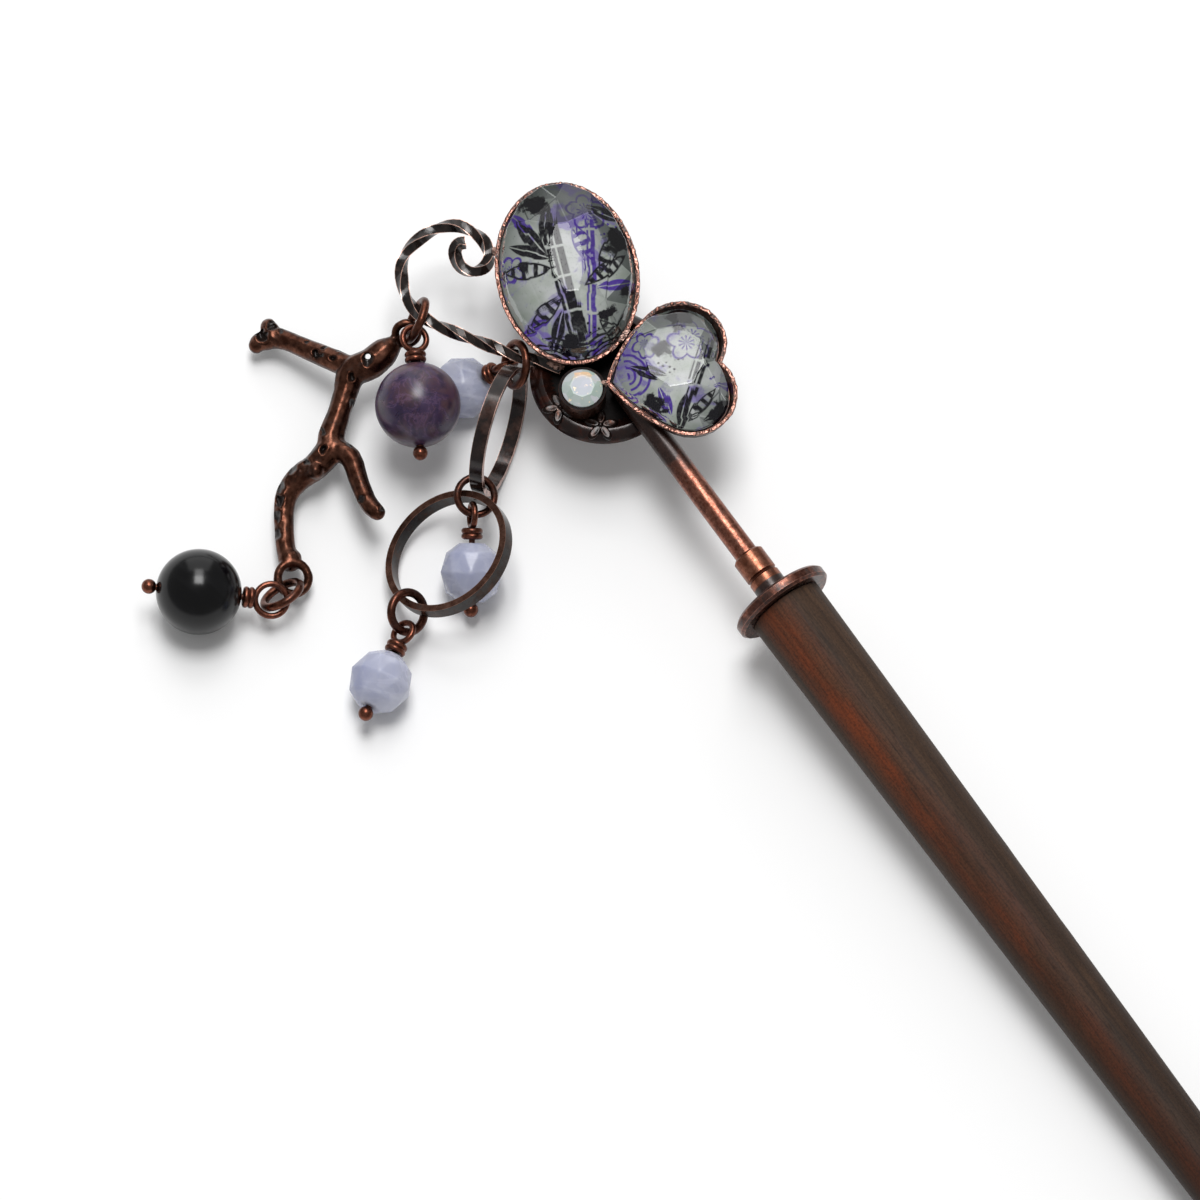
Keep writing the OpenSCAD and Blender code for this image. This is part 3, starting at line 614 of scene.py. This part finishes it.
class Print:
    """Builds one printed sheet as a pattern of inks, in millimetres on the sheet."""

    def __init__(self, name, centre, turn, half):
        self.material, self.tree, self.shader = new_finish(name)
        self.spot = place(self.tree, centre, (0, 0, turn))
        self.ink = {"black": [], "purple": []}
        self.half = half

    def local(self, x, y, turn=0.0, long=1.0, wide=1.0):
        made = add(self.tree, "Mapping", self.spot, settings={"vector_type": "TEXTURE"})
        fill(made, Location=(x, y, 0), Rotation=(0, 0, math.radians(turn)), Scale=(long, wide, 1))
        split = add(self.tree, "SeparateXYZ", made.outputs[0])
        return split.outputs[0], split.outputs[1]

    def crisp(self, value, soft):
        return between(self.tree, value, -soft, soft)

    def leaf(self, ink, x, y, turn, long, wide, bars=0.0):
        """A pointed leaf with a pale midrib, or crossed by bars."""
        t = self.tree
        u, v = self.local(x, y, turn, long / 2, wide / 2)
        side = calc(t, "ABSOLUTE", v)
        inside = minus(t, minus(t, 1.0, times(t, u, u)), side)
        shape = self.crisp(inside, 0.08)
        if bars:
            wave = calc(t, "SINE", times(t, u, bars))
            stripes = self.crisp(minus(t, wave, 0.1), 0.35)
            rim = self.crisp(minus(t, 0.3, inside), 0.08)
            shape = times(t, shape, calc(t, "MAXIMUM", stripes, rim))
        else:
            shape = times(t, shape, self.crisp(minus(t, side, 0.1), 0.05))
        self.ink[ink].append(shape)

    def culm(self, ink, x, y, turn, long, wide, joint):
        """A jointed bamboo stem with a pale line along it."""
        t = self.tree
        u, v = self.local(x, y, turn)
        ends = self.crisp(minus(t, long / 2, calc(t, "ABSOLUTE", u)), 0.06)
        side = calc(t, "ABSOLUTE", v)
        walls = self.crisp(minus(t, wide / 2, side), 0.05)
        gap = self.crisp(minus(t, calc(t, "PINGPONG", u, joint / 2), 0.13), 0.05)
        off_shine = calc(t, "ABSOLUTE", minus(t, v, 0.14 * wide))
        shine = self.crisp(minus(t, off_shine, 0.09), 0.05)
        shape = times(t, times(t, ends, walls), times(t, gap, shine))
        self.ink[ink].append(shape)

    def blossom(self, ink, x, y, turn, radius):
        """A five petalled blossom, drawn in outline with a dotted middle."""
        t = self.tree
        u, v = self.local(x, y, turn)
        far = distance(t, u, v)
        angle = calc(t, "ARCTAN2", v, u)
        petal = calc(t, "ABSOLUTE", calc(t, "COSINE", times(t, angle, 2.5)))
        edge = times(t, plus(t, 0.62, times(t, petal, 0.38)), radius)
        off_edge = calc(t, "ABSOLUTE", minus(t, far, edge))
        outline = self.crisp(minus(t, 0.13, off_edge), 0.05)
        ray = self.crisp(minus(t, calc(t, "COSINE", times(t, angle, 10)), 0.3), 0.3)
        reach = self.crisp(minus(t, 0.42 * radius, far), 0.06)
        self.ink[ink].append(calc(t, "MAXIMUM", outline, times(t, ray, reach)))

    def waves(self, ink, x, y, turn, radius, step):
        """Rings of a wave, cut off below."""
        t = self.tree
        u, v = self.local(x, y, turn)
        far = distance(t, u, v)
        ripple = calc(t, "SINE", times(t, far, 2 * math.pi / step))
        rings = self.crisp(minus(t, ripple, 0.25), 0.4)
        inside = self.crisp(minus(t, radius, far), 0.06)
        above = self.crisp(u, 0.06)
        self.ink[ink].append(times(t, rings, times(t, inside, above)))

    def dots(self, ink, x, y, turn, long, wide, scale):
        """A scatter of small dots inside an oval patch."""
        t = self.tree
        u, v = self.local(x, y, turn, long / 2, wide / 2)
        patch = minus(t, 1.0, plus(t, times(t, u, u), times(t, v, v)))
        cell = add(t, "TexVoronoi", Vector=self.spot, Scale=scale, Randomness=0.8)
        dot = self.crisp(minus(t, 0.24, cell.outputs["Distance"]), 0.06)
        self.ink[ink].append(times(t, dot, self.crisp(patch, 0.1)))

    def pour(self, blots):
        """Lays the inks on the paper, over washes that run out at their edges and a painted shade towards
        its rim.
        """
        t = self.tree
        grain = between(t, cloud(t, self.spot, 0.5, 5.0), 0.35, 0.65)
        paper = mix(t, grain, PAPER_GREY, PAPER_PALE)
        fleck = between(t, cloud(t, self.spot, 6.0, 2.0), 0.68, 0.72, 0.0, 0.7)
        wash = between(t, cloud(t, self.spot, 0.33, 5.0, 0.62, 0.8), 0.53, 0.62, 0.0, 0.72)
        u, v = self.local(0, 0, 0, *self.half)
        far = distance(t, u, v)
        # Painted shade: the paper is painted darker towards its rim
        paper = mix(t, between(t, far, 0.4, 0.95, 0.0, 0.8), paper, PAPER_SHADE)
        colour = mix(t, wash, paper, PURPLE_WASH)
        colour = mix(t, fleck, colour, FLECK_GREY)
        uneven = between(t, cloud(t, self.spot, 3.0, 3.0), 0.3, 0.5, 0.84, 1.0)
        for ink, shade, strength in (("purple", PURPLE_INK, 0.96), ("black", BLACK_INK, 1.0)):
            share = self.ink[ink][0]
            for other in self.ink[ink][1:]:
                share = calc(t, "MAXIMUM", share, other)
            share = times(t, times(t, share, uneven), strength)
            colour = mix(t, share, colour, shade)
        ragged = times(t, cloud(t, self.spot, 1.1, 5.0, 0.65), 2.6)
        for x, y, radius in blots:
            u, v = self.local(x, y)
            inside = minus(t, radius + 1.3, plus(t, distance(t, u, v), ragged))
            colour = mix(t, between(t, inside, -0.12, 0.12), colour, BLACK_INK)
        fill(self.shader, Base_Color=colour, Roughness=0.7, Specular_IOR_Level=0.0)
        bump(t, self.shader, fleck, 0.005)
        return self.material


def middle(node_name):
    low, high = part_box(node_name)
    return (low + high) / 2


# Leaves [ink, along, beside, turn, length, width, bars], along to the far end of the oval
OVAL_LEAVES = (
    ("black", 3.6, 2.2, 28, 4.6, 1.3, 0), ("black", 2.3, 2.6, 62, 4.2, 1.2, 0),
    ("black", 4.8, 0.9, -12, 4.0, 1.1, 0), ("purple", 5.2, 2.9, 40, 3.2, 1.0, 0),
    ("black", -0.4, -2.9, -58, 4.8, 1.4, 17), ("black", 1.2, -3.4, -28, 4.6, 1.2, 15),
    ("purple", -1.9, -3.7, -86, 3.6, 1.1, 0), ("black", -3.6, 2.3, 128, 4.2, 1.2, 16),
    ("black", -5.3, 1.5, 158, 4.0, 1.2, 0), ("purple", -4.6, 3.3, 112, 3.0, 0.9, 0),
    ("black", 0.6, 3.1, 84, 4.4, 1.5, 15), ("purple", 2.2, -1.6, 16, 4.0, 1.2, 14),
    ("black", -6.2, -3.0, 40, 3.6, 1.2, 14), ("black", 5.0, -3.7, 66, 3.4, 1.1, 0),
)
# Blots [along, beside, radius]
OVAL_BLOTS = (
    (-6.6, 0.6, 0.9), (-4.4, -2.6, 0.7), (6.6, 1.6, 1.1), (2.4, -4.6, 1.2), (-2.6, -4.6, 0.6),
)
oval_sheet = Print("oval_sheet", middle("oval_print"), PLAN_TURN + OVAL_HEADING, (8.5, 5.8))
for row in OVAL_LEAVES:
    oval_sheet.leaf(*row)
oval_sheet.culm("black", -0.6, 0.35, 4, 14.5, 1.15, 3.1)
oval_sheet.culm("purple", -1.5, -1.6, -7, 12.5, 0.8, 2.6)
oval_sheet.blossom("purple", 5.3, -2.2, 0, 1.7)
oval_sheet.blossom("purple", 1.0, 4.4, 20, 1.2)
oval_sheet.waves("black", -8.3, -2.3, 0, 2.6, 0.62)
oval_sheet.waves("black", -8.0, 2.4, 0, 2.2, 0.62)
oval_sheet.dots("black", -5.6, -1.2, 20, 3.6, 2.6, 1.9)
oval_sheet.dots("purple", 3.2, -3.9, 60, 3.6, 1.8, 1.7)
oval_sheet.dots("black", 1.2, 1.6, 80, 3.0, 1.4, 2.2)
oval_paper = joined_skin("oval_print", "oval_paper")
wear(oval_paper, oval_sheet.pour(OVAL_BLOTS))

# Leaves and blots of the heart's sheet, with along from its tip to its notch
HEART_LEAVES = (
    ("black", -0.4, -3.4, 68, 3.6, 1.1, 0), ("black", 1.3, -3.1, 40, 3.8, 1.0, 14),
    ("black", 2.6, -4.3, 12, 3.2, 0.9, 0), ("purple", -1.7, -2.3, 96, 3.0, 0.9, 0),
    ("black", -2.6, 0.6, 150, 3.4, 0.9, 0), ("purple", 3.9, -2.0, -18, 3.0, 0.9, 0),
)
HEART_BLOTS = ((3.4, -4.6, 1.7), (-2.8, -2.6, 1.1), (1.0, 5.0, 1.1), (-1.2, 2.6, 0.8))
heart_sheet = Print("heart_sheet", middle("heart_print"), PLAN_TURN + HEART_HEADING, (5.6, 6.4))
for row in HEART_LEAVES:
    heart_sheet.leaf(*row)
heart_sheet.culm("black", 0.9, -1.2, 63, 9.0, 0.7, 2.2)
heart_sheet.blossom("purple", 1.2, 2.7, 10, 1.8)
heart_sheet.blossom("purple", -2.2, 3.0, 40, 1.1)
heart_sheet.waves("purple", -4.4, 0.6, 0, 2.4, 0.6)
heart_sheet.waves("black", 3.4, 3.2, 0, 2.4, 0.6)
heart_sheet.dots("black", -0.6, 0.9, 30, 3.6, 2.4, 1.9)
heart_sheet.dots("purple", 3.0, 0.6, 70, 3.4, 2.0, 1.7)
heart_paper = joined_skin("heart_print", "heart_paper")
wear(heart_paper, heart_sheet.pour(HEART_BLOTS))


# The two glass stones
# Clear pressed glass, high and faceted, with flat backs glued straight onto the printed paper.
# The bezel walls are pushed over their lower edges.

# How far each back is let down onto its paper, how high it is over its bezel's floor, and the width
# of the softened edges
BACK_SINK, BACK_ABOVE, EDGE_SOFT = 0.14, 0.75, 0.075
# Turns, in degrees, past which two triangles aren't one facet, and past which an edge is softened
SAME_FACET, SOFT_FROM = 0.6, 4
# Painted shade on the glass: the tone of a facet that faces up, how much darker it is painted as it
# leans away from the camera or to the right, and how much that varies from facet to facet
UP_FACET_PAINTED_TONE, LEAN_LOSS, FACET_CHANCE = 0.94, 1.6, 1.2
GLASS_PAINTED_SHADE, GLASS_CLEAR = tone(62, 66, 70), tone(250, 251, 255)


def clear_glass(name):
    """Clear glass, which lets lamp light through to the paper below, with painted shade on each facet."""
    material, tree, shader = new_finish(name)
    facet = add(tree, "Attribute", settings={"attribute_name": "facet_painted_shade"}).outputs["Fac"]
    fill(shader, Base_Color=mix(tree, facet, GLASS_PAINTED_SHADE, GLASS_CLEAR), IOR=1.5)
    fill(shader, Transmission_Weight=1.0)
    smear = cloud(tree, place(tree, (0, 0, 0)), 0.6, 3.0)
    fill(shader, Roughness=between(tree, smear, 0.4, 0.75, 0.0, 0.045))
    out = next(n for n in tree.nodes if n.type == "OUTPUT_MATERIAL")
    through = add(tree, "BsdfTransparent", Color=(0.92, 0.93, 0.95, 1))
    ray = add(tree, "LightPath")
    blocked = calc(tree, "MAXIMUM", ray.outputs["Is Shadow Ray"], ray.outputs["Is Diffuse Ray"])
    both = add(tree, "MixShader", blocked, shader.outputs[0], through.outputs[0])
    fill(out, Surface=both.outputs[0])
    return material


def cut_stone(node_name, piece_name, back):
    """A faceted stone with softened edges, whose back is let down onto the paper."""
    stone = joined_skin(node_name, piece_name, 1.5)
    pick(stone)
    switch_to("EDIT")
    bpy.ops.mesh.select_mode(type="EDGE")
    bpy.ops.mesh.select_all(action="SELECT")
    bpy.ops.mesh.dissolve_limited(angle_limit=math.radians(SAME_FACET))
    bpy.ops.mesh.select_all(action="DESELECT")
    bpy.ops.mesh.edges_select_sharp(sharpness=math.radians(SOFT_FROM))
    bpy.ops.mesh.bevel(offset=EDGE_SOFT * MM, segments=1, affect="EDGES")
    bpy.ops.mesh.select_all(action="SELECT")
    bpy.ops.mesh.faces_shade_flat()
    bpy.ops.mesh.select_mode(type="VERT")
    bpy.ops.mesh.select_all(action="DESELECT")
    switch_to("OBJECT")
    for point in stone.data.vertices:
        point.select = point.co.z < (back + 0.06) * MM
    switch_to("EDIT")
    bpy.ops.transform.translate(value=(0, 0, -BACK_SINK * MM))
    switch_to("OBJECT")
    # Painted shade: facets that lean away from the camera or to the right are painted darker, varied at
    # random
    facet_painted_shade = stone.data.attributes.new("facet_painted_shade", "FLOAT", "FACE")
    for face in stone.data.polygons:
        right, far, above = to_plan @ face.normal
        lean = max(0.0, far - 0.15) + 0.6 * max(0.0, right - 0.25)
        chance = (noise.cell(face.normal * 40) - 0.5) * min(1.0, 0.12 + 4 * lean)
        painted_tone = UP_FACET_PAINTED_TONE - LEAN_LOSS * lean + FACET_CHANCE * chance
        facet_painted_shade.data[face.index].value = 1.0 if above < 0 else min(max(painted_tone, 0.05), 1.0)
    return stone


glass = clear_glass("clear_glass")
for node_name, base in (("oval_stone", OVAL_BASE), ("heart_stone", HEART_BASE)):
    stone = cut_stone(node_name, node_name.replace("stone", "glass"), base + BACK_ABOVE)
    wear(stone, glass)


# The small round stone
# Milky opal glass, faceted, with warm glints where the cut throws the light back, painted into
# its colour: a painted warm glow on its far side and small painted glints.
# It sits on the shoulder of the small cup.

MILK_GREEN, MILK_GREY, TABLE_LILAC = tone(170, 186, 178), tone(198, 200, 204), tone(160, 162, 178)
WARM_GLOW_PAINTED, WARM_GLINT_PAINTED = tone(240, 196, 152), tone(255, 230, 190)
TABLE_R = 1.0

milk, tree, shader = new_finish("milky_opal")
spot = place(tree, middle("opal_stone"), (0, 0, PLAN_TURN))
sector = add(tree, "TexVoronoi", Vector=stretched(tree, spot, 1.0, 1.0, 0.3), Scale=1.15, Randomness=0.85)
split = add(tree, "SeparateColor", sector.outputs["Color"])
right, far, above = add(tree, "SeparateXYZ", spot).outputs
colour = mix(tree, between(tree, split.outputs[0], 0.2, 0.8), MILK_GREEN, MILK_GREY)
# Painted light: a warm glow on the far side's facets, and small glints
painted_glow = between(tree, split.outputs[1], 0.35, 0.4)
painted_glow = times(tree, painted_glow, between(tree, far, 0.5, 1.3, 0.0, 0.8))
colour = mix(tree, painted_glow, colour, WARM_GLOW_PAINTED)
on_table = between(tree, distance(tree, right, far), TABLE_R + 0.1, TABLE_R - 0.1, 0.0, 0.75)
colour = mix(tree, on_table, colour, TABLE_LILAC)
painted_glint = between(tree, cloud(tree, spot, 2.6, 2.0), 0.62, 0.68, 0.0, 0.9)
colour = mix(tree, painted_glint, colour, WARM_GLINT_PAINTED)
fill(shader, Base_Color=colour, Subsurface_Weight=0.3, Subsurface_Radius=(1, 0.9, 0.8))
fill(shader, Subsurface_Scale=0.8 * MM)
fill(shader, Roughness=between(tree, split.outputs[2], 0, 1, 0.04, 0.16))
opal = joined_skin("opal_stone", "opal_faceted", 1.5)
wear(opal, milk)


# The jump rings
# Round copper wire bent into rings and closed, antiqued. They carry the drops on the scroll,
# the hoops and the branch.

ring_copper = copper("ring_copper", (90, 52, 39), (164, 108, 87), (18, 12, 11),
    Edge_Width=0.1, Patina_Cover=0.4)
dark_ring = copper("dark_ring_copper", (78, 46, 37), (146, 97, 80), (16, 11, 10),
    Edge_Width=0.1, Patina_Cover=0.46)
for node_name, finish, slot_name in (
    ("ring_left", ring_copper, "antique_copper"), ("ring_right", ring_copper, "antique_copper"),
    ("charm_ring", ring_copper, "antique_copper"), ("hoop_ring", dark_ring, "dark_copper"),
    ("lower_ring", dark_ring, "dark_copper"),
):
    piece = joined_skin(node_name, node_name + "_wire", 60)
    wear(piece, finish)


# The two hoops
# Flat bands cut from tube, nearly black with patina on their walls, with rubbed, paler edges.
# The upper one hangs from the right jump ring, and the lower one from the ring between them.

# Axis of each hoop [tilt from upright, heading in the view from above], in degrees
HOOP_AXES = {"hoop_upper": (84, -19), "hoop_lower": (29, 165)}
# How square to the axis a face is when it is part of an edge
SQUARE_ON = 0.7

upper_wall = copper("upper_hoop_wall", (64, 36, 30), (236, 190, 174), (11, 9, 9), relief=0.004,
    Edge_Width=0.08, Edge_Wear=1.3, Patina_Cover=0.72, Grain=0.35, Hollow_Reach=0.2, Smoothness=0.86)
upper_edge = copper("upper_hoop_edge", (164, 120, 108), (242, 204, 190), (28, 21, 19), relief=0.006,
    Edge_Width=0.1, Patina_Cover=0.42, Hollow_Reach=0.1, Smoothness=0.76)
lower_wall = copper("lower_hoop_wall", (50, 35, 30), (136, 98, 82), (13, 11, 10), relief=0.006,
    Edge_Width=0.07, Edge_Wear=0.8, Patina_Cover=0.62, Grain=0.6, Hollow_Reach=0.2, Smoothness=0.78)
lower_edge = copper("lower_hoop_edge", (92, 62, 51), (176, 134, 116), (26, 19, 17), relief=0.006,
    Edge_Width=0.1, Edge_Wear=1.2, Patina_Cover=0.36, Grain=0.7, Hollow_Reach=0.1)
for node_name, wall, edge in (
    ("hoop_upper", upper_wall, upper_edge), ("hoop_lower", lower_wall, lower_edge),
):
    piece = joined_skin(node_name, node_name + "_band", 40)
    wear(piece, wall)
    piece.data.materials.append(edge)
    tilt, heading = (math.radians(angle) for angle in HOOP_AXES[node_name])
    level = Vector((math.cos(heading), math.sin(heading), 0)) * math.sin(tilt)
    axis = to_plan.inverted() @ (level + Vector((0, 0, math.cos(tilt))))
    for face in piece.data.polygons:
        face.material_index = int(abs(face.normal.dot(axis)) > SQUARE_ON)


# The wrapped pins
# Copper ball pins: each runs up through its bead, is bent into a loop over the ring that carries
# it, and is wound round its own neck.

pin_copper = copper("pin_copper", (98, 56, 43), (180, 120, 98), (18, 12, 11),
    Edge_Width=0.1, Patina_Cover=0.38, Grain=1.4)
for node_name in ("purple_pin", "black_pin", "blue_pin_a", "blue_pin_b", "blue_pin_c"):
    piece = joined_skin(node_name, node_name + "_wire", 50)
    wear(piece, pin_copper)


# The purple bead
# A polished round of dark purple stone, clouded and veined in brown and lilac.

DEEP_PURPLE, MID_PURPLE, NIGHT_PURPLE = tone(44, 29, 60), tone(64, 46, 76), tone(28, 18, 44)
CLOUD_BROWN, VEIN_LILAC = tone(78, 52, 56), tone(112, 84, 118)

veined, tree, shader = new_finish("purple_stone")
spot = place(tree, middle("purple_bead"), (0.3, 0.5, 0.2))
swirl = cloud(tree, spot, 0.32, 5.0, 0.6, 0.9)
brown = cloud(tree, spot, 0.42, 6.0, 0.65, 0.6)
vein = cloud(tree, spot, 0.4, 6.0, 0.65, 1.0)
vein = calc(tree, "ABSOLUTE", minus(tree, vein, 0.5))
night = between(tree, cloud(tree, spot, 0.55, 4.0), 0.56, 0.68, 0.0, 0.7)
colour = mix(tree, between(tree, swirl, 0.38, 0.62), DEEP_PURPLE, MID_PURPLE)
colour = mix(tree, between(tree, brown, 0.44, 0.62, 0.0, 0.85), colour, CLOUD_BROWN)
colour = mix(tree, between(tree, vein, 0.03, 0.0, 0.0, 0.4), colour, VEIN_LILAC)
colour = mix(tree, night, colour, NIGHT_PURPLE)
fill(shader, Base_Color=colour, Roughness=between(tree, swirl, 0.3, 0.7, 0.26, 0.36))
fill(shader, Subsurface_Weight=0.08, Subsurface_Scale=0.6 * MM)
bead = joined_skin("purple_bead", "purple_bead_round", 40)
wear(bead, veined)


# The black bead
# A polished round of black stone, with faint grey bands in it.

BAND_BLACK, BAND_GREY = tone(3, 3, 4), tone(12, 12, 14)

black, tree, shader = new_finish("black_stone")
spot = place(tree, middle("black_bead"), (0.2, 0.9, 0.4))
band = cloud(tree, stretched(tree, spot, 0.16, 1.1, 0.16), 1.0, 4.0, 0.5, 0.4)
colour = mix(tree, between(tree, band, 0.45, 0.75), BAND_BLACK, BAND_GREY)
fill(shader, Base_Color=colour, Roughness=between(tree, band, 0.3, 0.7, 0.17, 0.22))
fill(shader, Specular_IOR_Level=0.32)
bead = joined_skin("black_bead", "black_bead_round", 40)
wear(bead, black)


# The three blue beads
# Pale blue chalcedony, milky and banded, cut all over in small flat facets and polished.

# How far round each edge the facets run into each other
FACET_BLEND = 0.5
CHALK_DEEP, CHALK_PALE, LACE_WHITE = tone(156, 160, 184), tone(181, 183, 198), tone(198, 200, 214)

chalk_blue, tree, shader = new_finish("pale_blue_stone")
spot = place(tree, (0, 0, 0), (0.4, 0.2, 0.9))
haze = cloud(tree, spot, 0.22, 5.0, 0.55, 0.6)
lace = cloud(tree, stretched(tree, spot, 0.25, 0.9, 0.25), 1.0, 5.0, 0.55, 0.8)
colour = mix(tree, between(tree, haze, 0.35, 0.65), CHALK_DEEP, CHALK_PALE)
colour = mix(tree, between(tree, lace, 0.52, 0.7, 0.0, 0.6), colour, LACE_WHITE)
fill(shader, Base_Color=colour, Roughness=between(tree, haze, 0.3, 0.7, 0.2, 0.32))
blend = add(tree, "Bevel", FACET_BLEND * MM, settings={"samples": 8})
fill(shader, Normal=blend.outputs[0], Subsurface_Weight=0.8, Subsurface_Radius=(0.9, 0.95, 1.1))
fill(shader, Subsurface_Scale=2.2 * MM)
for letter in "abc":
    bead = joined_skin("blue_bead_" + letter, "blue_bead_" + letter + "_cut", 3)
    wear(bead, chalk_blue)


# The coral branch
# A cast twig of copper with a smooth, softly lumpy skin: pits are punched along its limbs, and
# dents line its edges. The patina stays in the pits and in the dents, and its sides that turn away
# from the camera are painted dark, a painted shade along the edges.

SKIN_GRID = 0.13
# Depth of the low places of the skin, and their fineness
LUMP, LUMP_GRAIN = 0.1, 0.8
# Pits [across, up, radius, depth, stretch upwards], seen from the photograph's side
PITS = (
    (-48.45, 24.85, 0.6, 1.0, 1.0), (-47.5, 25.85, 0.42, 0.6, 1.0), (-46.8, 25.25, 0.22, 0.25, 1.0),
    (-43.4, 23.15, 0.42, 0.7, 0.8), (-43.0, 23.0, 0.3, 0.5, 0.8), (-41.85, 22.7, 0.36, 0.6, 0.8),
    (-42.6, 23.75, 0.32, 0.4, 0.6), (-41.2, 23.4, 0.3, 0.4, 0.6), (-44.4, 24.2, 0.25, 0.3, 0.7),
    (-38.55, 22.6, 0.55, 0.45, 1.0), (-40.1, 20.95, 0.34, 0.5, 1.0), (-40.1, 18.5, 0.3, 0.45, 1.5),
    (-42.7, 15.9, 0.28, 0.4, 1.3), (-43.9, 14.7, 0.45, 0.5, 1.2), (-42.7, 14.15, 0.42, 0.75, 1.2),
    (-44.3, 13.15, 0.42, 0.65, 1.2), (-45.6, 12.5, 0.5, 0.55, 1.3), (-46.6, 10.9, 0.42, 0.6, 1.6),
    (-46.75, 9.5, 0.44, 0.55, 1.5), (-46.95, 7.9, 0.34, 0.5, 1.8), (-46.95, 6.3, 0.3, 0.4, 1.8),
    (-40.2, 14.7, 0.26, 0.35, 1.3), (-39.2, 9.5, 0.32, 0.35, 1.0), (-37.2, 8.6, 0.32, 0.6, 1.0),
)
# Height and outer radius of the ridge round a pit, and how far its outline wanders
PIT_RIDGE, RIDGE_OUT, PIT_WANDER, WANDER_GRAIN = 0.07, 1.6, 0.35, 1.6
# The bud, seen from the same side
BUD_AT, BUD_R, BUD_RISE = (-43.35, 12.2), 0.8, 0.6
cast_copper = with_painted_shade_and_patina(copper("cast_copper", (67, 39, 29), (152, 105, 86), (12, 9, 8),
    relief=0.008, Edge_Wear=0.0, Hollow_Reach=0.9, Patina_Cover=0.36, Grain=0.8, Smoothness=0.69))
branch = joined_skin("coral_branch", "coral_cast", 60)
pick(branch)
reshape(branch, "REMESH", mode="VOXEL", voxel_size=SKIN_GRID * MM, use_smooth_shade=True)
reshape(branch, "SMOOTH", factor=0.5, iterations=8)
away = to_plan.inverted() @ Vector((0, -math.cos(ELEVATION), math.sin(ELEVATION)))
painted_shade_and_patina = branch.data.attributes.new("painted_shade_and_patina", "FLOAT", "POINT")
normals = [point.normal.copy() for point in branch.data.vertices]
for point, normal in zip(branch.data.vertices, normals):
    spot = Vector(in_plan(point.co))
    up = spot.y * math.sin(ELEVATION) + (spot.z - AIM_HEIGHT) * math.cos(ELEVATION)
    facing = normal.dot(away)
    move = normal * min(noise.noise(spot * LUMP_GRAIN) * LUMP, 0.0)
    # Painted shade: sides that turn away from the camera are painted dark
    dark = (0.4 - facing + 0.5 * noise.noise(spot * 0.7)) * 2.4
    if facing > -0.2:
        swell = max(0.0, 1 - (math.hypot(spot.x - BUD_AT[0], up - BUD_AT[1]) / BUD_R) ** 2)
        move += normal * BUD_RISE * swell
        side_step = PIT_WANDER * noise.noise(spot * WANDER_GRAIN)
        up_step = PIT_WANDER * noise.noise(spot * WANDER_GRAIN + Vector((9, 4, 2)))
        for across, over, radius, depth, stretch in PITS:
            if swell > 0:
                break
            far = math.hypot(spot.x + side_step - across, (up + up_step - over) / stretch) / radius
            if far < 1:
                move -= away * depth * (1 - far * far) ** 1.2
            elif far < RIDGE_OUT:
                move += away * PIT_RIDGE * math.sin(math.pi * (far - 1) / (RIDGE_OUT - 1))
            # Patina in the pits
            dark = max(dark, (1.1 - far) * 4)
    painted_shade_and_patina.data[point.index].value = min(max(dark, 0.0), 1.0)
    point.co += move * MM
reshape(branch, "SMOOTH", factor=0.5, iterations=2)
wear(branch, cast_copper)


# The table, the lamps and the camera
# A plain pale table in an evenly lit room, under soft lamps overhead and behind.
# The camera looks down at the angle of the photograph.

# Width that the picture takes in at the aim, and the camera's distance from it
FRAME_WIDTH, CAMERA_FAR = 111.1, 1500.0
AIM = (-16.85, 0.2, AIM_HEIGHT)
TABLE_SIZE, SENSOR = 6.0, 36

bpy.ops.object.select_all(action="DESELECT")
bpy.ops.mesh.primitive_plane_add(size=TABLE_SIZE, location=(0, 0, 0))
table = bpy.context.object
table.name = "table"
pale, tree, shader = new_finish("pale_table")
fill(shader, Base_Color=(0.95, 0.95, 0.95, 1), Roughness=0.9, Specular_IOR_Level=0.1)
wear(table, pale)

aim = from_plan(*AIM)


def from_camera_side(far, elevation, turn=0.0):
    """A place round the aim: elevation above the table, turned from the camera's side."""
    level = to_plan.inverted() @ (Matrix.Rotation(turn, 3, "Z") @ Vector((0, -math.cos(elevation), 0)))
    return aim + (level + Vector((0, 0, math.sin(elevation)))) * far


def softbox(name, size, power, far, elevation, turn):
    light = bpy.data.lights.new(name, "AREA")
    light.shape = "SQUARE"
    light.size = size
    light.energy = power
    lamp = bpy.data.objects.new(name, light)
    bpy.context.scene.collection.objects.link(lamp)
    lamp.location = from_camera_side(far, elevation, turn)
    lamp.rotation_euler = (lamp.location - aim).to_track_quat("Z", "Y").to_euler()


softbox("key_softbox", 0.6, 14.0, 1.6, math.radians(80), math.pi)
softbox("veil_softbox", 0.55, 5.2, 1.6, math.radians(60), math.pi)
softbox("back_softbox", 1.6, 8.0, 1.8, math.radians(28), math.pi)

world = bpy.data.worlds.new("dim_room")
world.use_nodes = True
room = world.node_tree.nodes["Background"]
fill(room, Color=(1, 1, 1, 1), Strength=0.33)
bpy.context.scene.world = world
bpy.context.scene.view_settings.view_transform = "Standard"

camera_data = bpy.data.cameras.new("camera")
camera_data.sensor_width = SENSOR
camera_data.lens = SENSOR * CAMERA_FAR / FRAME_WIDTH
camera_data.clip_start = 0.05
camera = bpy.data.objects.new("camera", camera_data)
bpy.context.scene.collection.objects.link(camera)
camera.location = from_camera_side(CAMERA_FAR * MM, ELEVATION)
camera.rotation_euler = (camera.location - aim).to_track_quat("Z", "Y").to_euler()
bpy.context.scene.camera = camera
